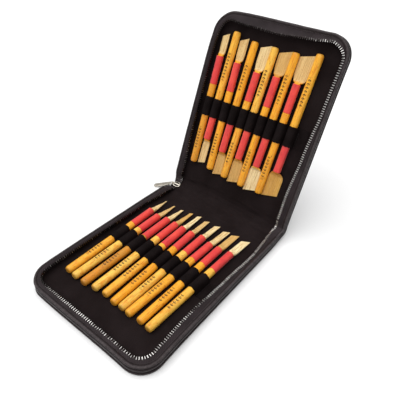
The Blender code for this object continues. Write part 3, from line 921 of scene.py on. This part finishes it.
# Places across the tape, from its root to its toothed edge, and half its thickness there in mm
TAPE_PLACES = ((0.0, 0.28), (0.2, 0.28), (0.4, 0.28), (0.6, 0.28), (0.8, 0.28), (0.93, 0.5), (1.0, 0.5))
TOOTH_PITCH = 2.7 * MM
STITCH_PITCH = 3.1 * MM
TOOTH = bevelled_box((0.9 * MM, 3.0 * MM, 1.4 * MM), 0.22 * MM, taper=0.8)
STITCH = stitch_shape(2.3 * MM, 0.24 * MM)
# How bright the teeth are painted round each half and across the folds' ends, from the left end of the spine:
# painted reflection where they glint, painted shade where they face the dark inside of the case
TOOTH_GLINT = {
    "lower": ((0.0, 0.3), (0.3, 0.25), (0.38, 0.3), (0.42, 0.8), (0.50, 1.0), (0.54, 0.5), (0.61, 0.45),
              (0.635, 0.8), (0.66, 0.8), (0.69, 0.5), (0.73, 0.8), (0.78, 0.5), (0.86, 0.9), (1.0, 0.9)),
    "upper": ((0.0, 0.3), (0.35, 0.15), (0.54, 0.2), (0.60, 0.5), (0.68, 0.8), (0.76, 1.0), (1.0, 1.0)),
    "left": ((0.0, 0.3), (1.0, 0.3)),
    "right": ((0.0, 0.8), (1.0, 0.8)),
}


def tape_edge(where, keys):
    """The toothed edge's inset, depth and arch at each place, in mm."""
    return [smooth(where, [(key[0], key[part]) for key in keys]) for part in (1, 2, 3)]


def rim_section(name, share):
    """Along a half's rim: the share of the wall's height, its rise and the tape's toothed edge, in mm."""
    return np.ones_like(share), smooth(share, WALL_RISE[name]), *tape_edge(share, TAPE_EDGES[name])


def fold_section(end, t):
    """The same across the folds, where t is in metres from the lower fold."""
    t = t / MM
    return smooth(t, FOLD_HEIGHTS[end]), np.zeros_like(t), *tape_edge(t, FOLD_EDGES[end])


def piping_section(radius, sides=12):
    """The piping's round section."""
    turns = [2 * math.pi * k / sides for k in range(sides)]
    x, y = PIPING_CENTRE
    return [(x + radius * math.cos(turn), y + radius * math.sin(turn)) for turn in turns]


def tape_section(edge_inset, edge_depth, arch):
    """The zip tape's closed section at one station, from under the seam's ridge to its toothed edge."""
    span = np.array([edge_inset, edge_depth]) - TAPE_ROOT
    away = np.array([-span[1], span[0]]) / np.linalg.norm(span)
    middles = [TAPE_ROOT + span * share + away * arch * math.sin(math.pi * share) for share, _ in TAPE_PLACES]
    top = [middle + away * thick for middle, (_, thick) in zip(middles, TAPE_PLACES)]
    bottom = [middle - away * thick for middle, (_, thick) in zip(middles, TAPE_PLACES)]
    return np.array(top + bottom[::-1])


def wall_section(height, rise_mm, sway, swell):
    """The wall's section where it keeps this share of its height, stands higher by a rise and bulges."""
    points = []
    for inset, depth in WALL_SECTION:
        share = max(0.0, (depth - WALL_FOOT) / 10)
        if depth > WALL_FOOT:
            depth = WALL_FOOT + (depth - WALL_FOOT) * height + rise_mm * share
        bulge = sway * math.sin(math.pi * min(share, 1.0)) + 0.5 * swell * share
        points.append((inset + bulge, depth))
    return points


def edge_sections(sections, stations, seed):
    """Piping, wall and tape sections for each station: arrays of (stations, points, 2), in metres."""
    sway, swell = (ripple(joined(stations / (13 * MM), k, 0), 1.0) for k in (seed, seed + 5))
    sway, swell = 0.35 * sway, 0.25 * swell
    piping, wall, tape = [], [], []
    for k, (height, rise_mm, inset, depth, arch) in enumerate(zip(*sections)):
        piping.append(piping_section(PIPING_RADIUS + 0.12 * swell[k]))
        wall.append(wall_section(height, rise_mm, sway[k], swell[k]))
        drop = (TAPE_ROOT[1] - WALL_FOOT) * (height - 1) + rise_mm
        edge_depth = depth - drop + rise_mm * 0.5 + 0.6 * sway[k]
        tape.append(tape_section(inset + 0.8 * swell[k], edge_depth, arch) + (0, drop))
    return np.array(piping) * MM, np.array(wall) * MM, np.array(tape) * MM


def picked(line, sideways, pitch):
    """Indices of a line's points that lie a pitch apart, clear of its ends, and the frame at each."""
    picks = spread(line, pitch)
    picks = picks[(picks > 1) & (picks < len(line) - 2)]
    frames = frames_along(line, sideways)
    return picks, [frames[k] for k in picks]


def add_edge(name, side, sections, seed, stations, dense, at, place, nodes):
    """The piping, wall, tape, teeth and seam of one stretch of the case's edge.

    at gives the points at these stations, insets and depths. place settles a piece. nodes holds the names of the
    CAD nodes that the piping, the wall and the tape stand for.
    """
    piping, wall, tape = edge_sections(sections, stations, seed)
    parts = (
        ("edge_piping", piping, LEATHER, "leather", PIPING_HIGHLIGHT),
        ("leather_wall", wall, LEATHER, "leather", WALL_HIGHLIGHT),
        ("zip_tape", tape, TAPE, "zip", {}),
    )
    for (label, section, surface, slot, painted_highlight), names in zip(parts, nodes):
        # The painted highlight's share at each point of the section
        highlight_mask = np.zeros((*section.shape[:2], 3))
        for point, amount in painted_highlight.items():
            highlight_mask[:, point] = amount
        rings = at(stations[:, None], section[..., 0], section[..., 1])
        place(add_tube(f"{name}_{label}", rings, surface, {"painted_highlight": highlight_mask}), slot, *names)

    def line(section, point):
        inset, depth = (np.interp(dense, stations, section[:, point, part]) for part in (0, 1))
        return at(dense, inset, depth)

    last = len(TAPE_PLACES)
    edge = (line(tape, last - 1) + line(tape, last)) / 2
    picks, frames = picked(edge, edge - line(tape, 4), TOOTH_PITCH)
    teeth = [(origin + axes[1] * 0.5 * MM, axes) for origin, axes in frames]
    # Each tooth's painted glint: bright where it would catch the light, dark where it would face the dark inside
    glint_share = smooth(picks / len(edge), TOOTH_GLINT[side])
    place(add_copies(f"{name}_zip_teeth", TOOTH, teeth, TEETH, {"painted_glint": joined(glint_share, glint_share, glint_share)}), "metal")
    ridge = line(wall, RIDGE_POINT)
    sewn = picked(ridge, edge - ridge, STITCH_PITCH)[1]
    place(add_copies(f"{name}_seam_stitches", STITCH, sewn, THREAD), "leather")


def add_rim(half, name):
    """The edge round a half's three free sides."""
    stations = np.linspace(0, Rim.length, 420)
    add_edge(
        name,
        name,
        rim_section(name, stations / Rim.length),
        11.0 if half is lower else 23.0,
        stations,
        np.linspace(0, Rim.length, 3400),
        lambda spots, inset, depth: Rim.place(half, spots, inset, depth),
        lambda item, slot, *nodes: settle(item, half.body, slot, *nodes),
        [(f"{name}_{node}",) for node in ("piping", "gusset", "zip_chain")],
    )


def add_fold_end(name, end):
    """The edge that carries on across one fold at one end of the spine, crumpled and drawn in."""
    sign = -1.0 if end == "left" else 1.0
    stations = np.linspace(*FOLD_SPANS[name], 34)
    crumple = ripple(joined(stations / (3.2 * MM), sign * 3, 0), 1.0) * (1.3 if end == "right" else 0.9) * MM
    crumple *= within_folds(stations, 7 * MM)
    pinch = spine_pinch(stations, sign)

    def at(spots, inset, depth):
        creased = np.interp(spots, stations, crumple) * rise(depth - 3 * MM, 8 * MM)
        drawn_in = inset + np.interp(spots, stations, pinch) + creased
        return across_folds(sign * (CASE_WIDTH / 2 - drawn_in), spots, depth)

    add_edge(
        f"{name}_fold_{end}",
        end,
        fold_section(end, stations),
        31.0 if end == "left" else 43.0,
        stations,
        np.linspace(*FOLD_SPANS[name], 300),
        at,
        lambda item, slot, *nodes: bend(item, name == "lower", slot, *nodes),
        ((), (), (f"zip_end_gusset_{end}",) if name == "lower" else ()),
    )


# ---------------------------------------------------------------- pens


# The tip is measured over this much of the nib's end
TIP_SPAN = 9 * MM


def node_points(name):
    """The points of a CAD node."""
    return np.array([vert.co[:] for vert in frame["nodes"][name].data.vertices])


class Pen:
    """A pen as the CAD model places it: its handle's end, its own axes, and its sizes along and across."""

    def __init__(self, half, name, number):
        self.half = half
        self.name = name
        self.number = number
        self.body = f"{name}_pen_{number:02d}"
        self.spade = half is upper
        self.reversed = self.spade and number % 2 == 0
        travel = np.array(joints[f"{self.body}_slide"]["axis"])
        self.along = -travel if self.reversed else travel
        self.up = half.inward
        self.across = np.cross(self.along, self.up)
        points = node_points(self.body)
        reach = points @ self.along
        self.length = np.ptp(reach)
        self.origin = points[reach < reach.min() + 0.2 * MM].mean(0)
        tip = points[reach > reach.max() - TIP_SPAN]
        self.tip_width = np.ptp(tip @ self.across)
        self.slant = np.polyfit(tip @ self.across, tip @ self.along, 1)[0]
        self.grip = f"{name}_grip_{number:02d}"
        sleeve = node_points(self.grip) @ self.along - reach.min()
        self.sleeve = (sleeve.min(), sleeve.max())
        self.seed = number * 0.7 + (20 if self.spade else 0)

    def place(self, local):
        """Points of the pen's own space, with x across, y along and z up, in the case's frame."""
        axes = np.array([self.across, self.along, self.up])
        return self.origin + local @ axes

    def x_at(self, s):
        """The axis's x where the pen passes a distance from the fold."""
        pace = self.along @ self.half.along
        travelled = (s - (self.origin - self.half.origin) @ self.half.along) / pace
        return self.origin[0] + travelled * self.along[0]


# Each pen's tone, from pale straw to red-brown, and the tone of its bare wood
TONES = {
    "lower": (
        (0.35, 0.35), (0.05, 0.65), (0.8, 0.25), (0.0, 0.85), (0.3, 0.0),
        (0.55, 0.6), (0.1, 0.15), (0.35, 0.35), (0.4, 0.8), (0.2, 0.0),
    ),
    "upper": (
        (0.7, 0.5), (0.3, 0.45), (0.45, 0.6), (0.5, 0.8), (0.35, 0.35),
        (0.2, 0.8), (0.55, 0.8), (0.4, 0.1), (0.6, 0.6), (0.35, 0.95),
    ),
}
PEN_SIDES = 36
# The end of a handle, as (mm from its end, radius in mm)
DOME = ((0, 0.6), (0.04, 1.9), (0.2, 2.9), (0.55, 3.6), (1.1, 4.15), (2.0, 4.5), (3.2, 4.68))
# The rolled end of a sleeve, as (mm from its end, radius in mm)
SLEEVE_END = ((0.0, 4.25), (0.08, 4.55), (0.35, 4.75), (0.8, 4.72))


def section_ring(half_wide, half_thick, squareness):
    """A closed section from a circle to a rounded bar, with its points spread evenly round it."""
    turn = np.linspace(0, 2 * math.pi, 4 * PEN_SIDES + 1)
    x, z = (np.sign(wave) * np.abs(wave) ** (2 / squareness) for wave in (np.cos(turn), np.sin(turn)))
    x, z = half_wide * x, half_thick * z
    travelled = np.concatenate([[0], np.cumsum(np.hypot(np.diff(x), np.diff(z)))])
    wanted = np.linspace(0, travelled[-1], PEN_SIDES, endpoint=False)
    return np.interp(wanted, travelled, x), np.interp(wanted, travelled, z)


def nib_profile(pen, y, start):
    """Half width, half thickness, drop and squareness of the nib at y, and how far its slant has set in.

    A spade nib swells to its full width over round shoulders. A fine one narrows steadily to its tip.
    """
    share = (y - start) / (pen.length - start)
    past = (y - start) / MM
    tip = pen.tip_width / MM / 2
    if pen.spade:
        shoulder = 9.5 if pen.reversed else 13.0
        drop = 3.3 * math.sqrt(pen.tip_width / (19.4 * MM))
        curve = math.sqrt(max(0.0, 1 - (1 - min(1.0, max(0.0, past - 0.8) / shoulder)) ** 2))
        wide = 3.7 + (tip - 3.7) * curve
        thick = smooth(past, [(0, 3.4), (1.5, 2.3), (6, 0.95), (24, 0.65), (34, 0.32)])
        sink = smooth(past, [(0, 0), (1.2, drop * 0.4), (5, drop), (34, drop)])
        square = smooth(past, [(0, 2.0), (3, 3.0), (7, 5.0), (34, 6.0)])
    else:
        base = max(3.4, tip)
        taper = base + (tip - base) * smooth(share, [(0.15, 0.0), (1.0, 1.0)])
        wide = 3.75 + (taper - 3.75) * smooth(past, [(0.5, 0.0), (5.0, 1.0)])
        thick = smooth(past, [(0, 3.3), (2, 2.5), (11, 1.3), (30, 0.4)])
        sink = smooth(past, [(0, 0), (2, 0.7), (11, 1.7), (30, 2.5)])
        square = smooth(past, [(0, 2.0), (5, 3.2), (30, 4.5)])
    slanted = smooth(share, [(0.3, 0.0), (1.0, 1.0)])
    return wide * MM, thick * MM, sink * MM, square, slanted


def mark_zone(pen):
    """Where along the handle its row of burned marks begins and ends."""
    if not pen.spade:
        return 28 * MM, 54 * MM
    return (26 * MM, 62 * MM) if pen.reversed else (20 * MM, 52 * MM)


# Pens with a long shallow groove in the handle, as the groove's turn from the top in degrees
GROOVES = {("lower", 1): 12, ("lower", 8): -30, ("upper", 4): 25}


def add_pen(pen):
    """The bamboo: a handle with a domed end, a neck inside the sleeve, and a carved nib."""
    collar = pen.sleeve[0] - 0.5 * MM
    start = pen.sleeve[1] + 0.3 * MM
    stations = [(y * MM, radius * MM) for y, radius in DOME]
    stations += [(y, PEN_RADIUS) for y in np.arange(4.4 * MM, collar, 0.9 * MM)]
    stations += [(collar, PEN_RADIUS), (collar + 0.15 * MM, 4.5 * MM), (collar + 0.5 * MM, 3.95 * MM)]
    stations += [(start - 0.2 * MM, 3.8 * MM)]
    handle_tone, wood_tone = TONES[pen.name][pen.number - 1]
    zone = mark_zone(pen)
    rings, canes, marks = [], [], []
    for y, radius in stations:
        sway = noise.noise(Vector((y / (40 * MM), pen.seed, 0)))
        knot = 1 + 0.016 * noise.noise(Vector((y / (9 * MM), pen.seed, 3))) + 0.012 * sway
        x, z = section_ring(radius * knot, radius * (2 - knot), 2.0)
        turn = np.arctan2(x, z)
        if (pen.name, pen.number) in GROOVES:
            gap = turn - math.radians(GROOVES[pen.name, pen.number])
            dip = 1 - 0.09 * bell(gap * radius, 0, 0.75 * MM) * min(1.0, y / (5 * MM))
            x, z = x * dip, z * dip
        rings.append(joined(x + sway * 0.08 * MM, y, z))
        # Darker towards the handle's domed end
        end_darkening = 0.45 * math.exp(-y / (1.1 * MM)) + 0.12 * math.exp(-y / (6 * MM))
        canes.append(joined(0 * x, handle_tone, end_darkening))
        clear = rise(min(y - zone[0], zone[1] - y), 2 * MM)
        marks.append(joined(turn * PEN_RADIUS, y - zone[0] + pen.seed * MM, clear))
    spots = np.arange(start, start + 14 * MM, 0.6 * MM)
    for y in np.concatenate([spots, np.linspace(start + 14.3 * MM, pen.length, 24)]):
        wide, thick, sink, square, set_in = nib_profile(pen, y, start)
        x, z = section_ring(wide, thick, square)
        slant = pen.slant * set_in
        reach = min(y, pen.length - abs(slant) * wide)
        rings.append(joined(x, reach + slant * x, z - sink))
        carved = smooth(y - start, [(0.4 * MM, 0.0), (4.5 * MM if pen.spade else 2.0 * MM, 1.0)])
        canes.append(joined(0 * x, wood_tone, 0) + (carved, 0, 0))
        marks.append(joined(0 * x, 0, 0))
    rings = np.array(rings)
    grain = rings + np.array([pen.seed * 0.05, pen.seed * 0.013, pen.seed * 0.021])
    vectors = {"grain": grain, "cane": np.array(canes), "mark": np.array(marks)}
    item = add_tube(f"{pen.body}_bamboo", pen.place(rings), BAMBOO, vectors=vectors)
    settle(item, pen.body, "bamboo", pen.body)


def add_sleeve(pen):
    """The coral sleeve: a tube shrunk on behind the nib, rolled slightly at both ends."""
    start, end = pen.sleeve
    stations = [(start + y * MM, radius * MM) for y, radius in SLEEVE_END]
    stations += [(y, 4.68 * MM) for y in np.arange(start + 1.6 * MM, end - 1.6 * MM, 0.9 * MM)]
    stations += [(end - y * MM, radius * MM) for y, radius in reversed(SLEEVE_END)]
    stations += [(end - 0.25 * MM, 3.9 * MM), (end - 2 * MM, 3.85 * MM)]
    stations += [(start + 2 * MM, 3.98 * MM), (start + 0.25 * MM, 4.0 * MM)]
    rings = []
    turn = np.linspace(0, 2 * math.pi, PEN_SIDES, endpoint=False)
    for y, radius in stations:
        rough = ripple(joined(np.cos(turn) * 1.2, y / (4 * MM), pen.seed + np.sin(turn) * 1.2), 1.0)
        lumps = radius + rough * 0.07 * MM * (radius > 4.5 * MM)
        rings.append(joined(lumps * np.cos(turn), y, lumps * np.sin(turn)))
    rings = np.array(rings)
    faces = loop_faces(len(rings), PEN_SIDES)
    item = add_mesh(f"{pen.body}_sleeve", pen.place(rings), faces, CORAL, {"grain": rings + pen.seed * 0.05})
    settle(item, pen.body, "grip", pen.grip)


# ---------------------------------------------------------------- elastic bands

BAND_MIDDLE_RADIUS = PEN_RADIUS + 0.55 * MM
BAND_HALF_THICKNESS = 0.35 * MM
RIB_PITCH = 1.45 * MM
SEWN_DEPTH = LINING_TOP + 0.5 * MM
# How far the band's outermost seams lie from the first and last pens' axes
SEAM_REACH = 7.2 * MM


def tangent_turn(gap, radius, left):
    """The angle round a circle at which a line from a point off it, at this gap, touches its upper side."""
    swing = math.acos(radius / np.hypot(*gap))
    turn = math.atan2(gap[1], gap[0])
    return turn % (2 * math.pi) - swing if left else turn + swing


def band_path(centres):
    """The band's line in x and depth over pens at these x, stretched tight from seam to seam."""
    gaps = [(a + b) / 2 for a, b in zip(centres, centres[1:])]
    seams = [centres[0] - SEAM_REACH] + gaps + [centres[-1] + SEAM_REACH]
    first_x, last_x = BAND_ENDS_X
    line = [(first_x, SEWN_DEPTH), ((first_x + seams[0]) / 2, SEWN_DEPTH)]
    for x, left_x, right_x in zip(centres, seams, seams[1:]):
        centre, left, right = (np.array([spot, SEWN_DEPTH]) for spot in (x, left_x, right_x))
        centre[1] = PEN_DEPTH
        first = tangent_turn(left - centre, BAND_MIDDLE_RADIUS, True)
        last = tangent_turn(right - centre, BAND_MIDDLE_RADIUS, False)
        turns = np.linspace(first, last, 19)
        arc = centre + BAND_MIDDLE_RADIUS * joined(np.cos(turns), np.sin(turns))
        line += [left + (arc[0] - left) * share for share in (0.0, 0.08, 0.3, 0.65)]
        line += list(arc)
        line += [arc[-1] + (right - arc[-1]) * share for share in (0.35, 0.7, 0.92)]
    line += [(x, SEWN_DEPTH) for x in (seams[-1], (last_x + seams[-1]) / 2, last_x)]
    return np.array(line), seams


def add_band(half, name, pens, span):
    """The elastic band: ribbed along its length, arched over the pens and sewn down between them."""
    rows = 118
    tops, bottoms, seam_lines = [], [], []
    for s in np.linspace(*span, rows):
        line, seams = band_path([pen.x_at(s) for pen in pens])
        seam_lines.append(seams)
        tangent = np.gradient(line, axis=0)
        normal = joined(-tangent[:, 1], tangent[:, 0])
        normal /= np.linalg.norm(normal, axis=1)[:, None]
        rib = 0.11 * MM * math.cos(2 * math.pi * (s - span[0]) / RIB_PITCH)
        to_edge = min(s - span[0], span[1] - s)
        thickness = BAND_HALF_THICKNESS * (0.55 + 0.45 * min(1.0, to_edge / (0.5 * MM)))
        flutter = 0.25 * MM * math.exp(-to_edge / (2.5 * MM))
        waves = flutter * np.sin(np.arange(len(line)) * 0.55 + s / MM)
        slack = joined(0, waves * (line[:, 1] > SEWN_DEPTH + 1 * MM))
        edge_s = s + 0.18 * MM * np.sin(np.arange(len(line)) * 0.9) * (1 - min(1.0, to_edge / (3 * MM)))
        top = line + slack + normal * (thickness + rib)
        bottom = line + slack - normal * BAND_HALF_THICKNESS * 0.7
        tops.append(half.at(top[:, 0], edge_s, top[:, 1]))
        bottoms.append(half.at(bottom[:, 0], edge_s, bottom[:, 1]))
    item = add_slab(f"{name}_elastic", np.array(tops), np.array(bottoms), ELASTIC)
    settle(item, half.body, "elastic", f"{name}_elastic_band")
    axes = np.array([half.along, np.cross(half.inward, half.along), half.inward])
    sewn = []
    for seam in np.transpose(seam_lines):
        for share in np.arange(0.04, 0.98, 0.082):
            x = np.interp(share * (rows - 1), np.arange(rows), seam)
            sewn.append((half.at(x, span[0] + share * (span[1] - span[0]), SEWN_DEPTH + 0.55 * MM), axes))
    settle(add_copies(f"{name}_elastic_stitches", STITCH, sewn, THREAD), half.body, "elastic")


# ---------------------------------------------------------------- slider and pull tab


def add_plate(name, outline, holes, low, high, bevel, place, surface):
    """A flat metal plate from an outline with holes, its edges bevelled."""
    curve = bpy.data.curves.new(name, "CURVE")
    curve.dimensions = "2D"
    curve.fill_mode = "BOTH"
    curve.extrude = (high - low) / 2 - bevel
    curve.bevel_depth = bevel
    curve.bevel_resolution = 2
    for points in (outline, *holes):
        spline = curve.splines.new("POLY")
        spline.points.add(len(points) - 1)
        for spot, point in zip(spline.points, points):
            spot.co = (*point, 0, 1)
        spline.use_cyclic_u = True
    shape = link(name + "_curve", curve)
    bpy.context.view_layer.update()
    mesh = bpy.data.meshes.new_from_object(shape.evaluated_get(bpy.context.evaluated_depsgraph_get()))
    bpy.data.objects.remove(shape)
    mesh.transform(Matrix.Translation((0, 0, (low + high) / 2)))
    mesh.transform(place)
    return dress(name, mesh, surface, 40, merge=0.001 * MM)


def rounded_outline(width, length, radius, start_x=0.0, steps=6):
    """A rectangle from start_x along X with rounded corners, centred on Y."""
    points = []
    for quarter, (end, side) in enumerate(((1, 1), (0, 1), (0, -1), (1, -1))):
        x = start_x + (length - radius if end else radius)
        y = side * (width / 2 - radius)
        for k in range(steps + 1):
            turn = math.pi / 2 * (quarter + k / steps)
            points.append((x + radius * math.cos(turn), y + radius * math.sin(turn)))
    return points


SLIDER_X = -84 * MM
SLIDER_CENTRE_T = 10.5 * MM
LUG_X = -86.4 * MM
LUG_DEPTH = 6.3 * MM
# One side of the slider's outline, as (mm from its outer end, mm from its middle line)
SLIDER_SIDE = ((0, 2.7), (2.2, 3.9), (6.8, 3.9), (9.4, 2.6), (10, 1.6))


def add_slider():
    """The zip slider: plates joined by a bridge, with a dark inlay, a rib and a ring for the pull tab."""
    place = Matrix((X_AXIS, spine.along, spine.inward)).transposed().to_4x4()
    place.translation = Vector(spine.at(SLIDER_X, SLIDER_CENTRE_T, 0))
    wedge = [(x * MM, -y * MM) for x, y in SLIDER_SIDE] + [(x * MM, y * MM) for x, y in SLIDER_SIDE[::-1]]
    inlay = [(0.7 * MM + 0.87 * x, 0.84 * y) for x, y in wedge]
    bridge = rounded_outline(3 * MM, 4 * MM, 1 * MM, 0.6 * MM)
    saddle = rounded_outline(1.2 * MM, 8.4 * MM, 0.55 * MM, 0.9 * MM)
    plates = (
        ("top", wedge, 6.5, 7.9, 0.35, METAL),
        ("bottom", wedge, 3.9, 5.1, 0.3, METAL),
        ("bridge", bridge, 4.6, 7.0, 0.1, METAL),
        ("enamel", inlay, 7.6, 8.05, 0.15, DARK_METAL),
        ("saddle", saddle, 7.8, 8.8, 0.4, METAL),
    )
    for label, outline, low, high, bevel, surface in plates:
        plate = add_plate(f"slider_{label}", outline, [], low * MM, high * MM, bevel * MM, place, surface)
        settle(plate, "zip_slider", "metal")
    turn, across = np.meshgrid(np.arange(28) * math.pi / 14, np.arange(12) * math.pi / 6, indexing="ij")
    reach = 1.9 * MM + 0.5 * MM * np.cos(across)
    ring = joined(reach * np.cos(turn), 0.8 * MM * np.sin(across), reach * np.sin(turn))
    axes = np.array([X_AXIS, spine.along, spine.inward])
    points = ring @ axes + spine.at(LUG_X, SLIDER_CENTRE_T, LUG_DEPTH)
    lug = add_mesh("slider_lug", points, loop_faces(28, 12), METAL)
    settle(lug, "zip_slider", "metal", "zip_slider")


def add_pull_tab():
    """The pull tab: a flat bar with an eye at the lug, a raised rim and a small hole at its far end."""
    pin_line = Vector((-math.sin(TAB_AZIMUTH), math.cos(TAB_AZIMUTH), 0))
    level = Vector((-math.cos(TAB_AZIMUTH), -math.sin(TAB_AZIMUTH), 0))
    lengthwise = level * math.cos(TAB_DIP) - Vector((0, 0, math.sin(TAB_DIP)))
    flat = lengthwise.cross(pin_line)
    place = Matrix((lengthwise, pin_line, flat)).transposed().to_4x4()
    place.translation = Vector(spine.at(LUG_X, SLIDER_CENTRE_T, LUG_DEPTH))
    outline = rounded_outline(TAB_WIDTH, 29.6 * MM, 2.2 * MM, -0.6 * MM, 8)
    eye = rounded_outline(4.0 * MM, 3.3 * MM, 0.9 * MM, 0.6 * MM, 4)
    turns = [k * math.pi / 8 for k in range(16)]
    hole = [(24.6 * MM + 1.3 * MM * math.cos(turn), 1.3 * MM * math.sin(turn)) for turn in turns]
    tab = add_plate("pull_tab_bar", outline, [eye, hole], -0.5 * MM, 0.5 * MM, 0.22 * MM, place, METAL)
    settle(tab, "zip_pull_tab", "metal", "zip_pull_tab")
    field = rounded_outline(TAB_WIDTH, 19 * MM, 1.6 * MM)
    rim = [(x * 0.80 + 5.2 * MM, y * 0.62) for x, y in field]
    inner = [(x * 0.72 + 6.0 * MM, y * 0.38) for x, y in field]
    ridge = add_plate("pull_tab_ridge", rim, [inner], 0.35 * MM, 0.75 * MM, 0.12 * MM, place, METAL)
    settle(ridge, "zip_pull_tab", "metal")


# ---------------------------------------------------------------- everything


def main():
    """The whole scene, a half of the case at a time."""
    add_camera()
    add_studio()
    for half, name, span in ((lower, "lower", LOWER_BAND_SPAN), (upper, "upper", UPPER_BAND_SPAN)):
        add_cover(half, name)
        add_lining(half, name)
        add_fold(name)
        add_rim(half, name)
        for end in ("left", "right"):
            add_fold_end(name, end)
        pens = [Pen(half, name, number) for number in range(1, 11)]
        for pen in pens:
            add_pen(pen)
            add_sleeve(pen)
        add_band(half, name, pens, span)
        stiffener = frame["nodes"][f"{name}_board"]
        stiffener.data.materials.clear()
        stiffener.data.materials.append(BOARD)
    add_slider()
    add_pull_tab()


main()
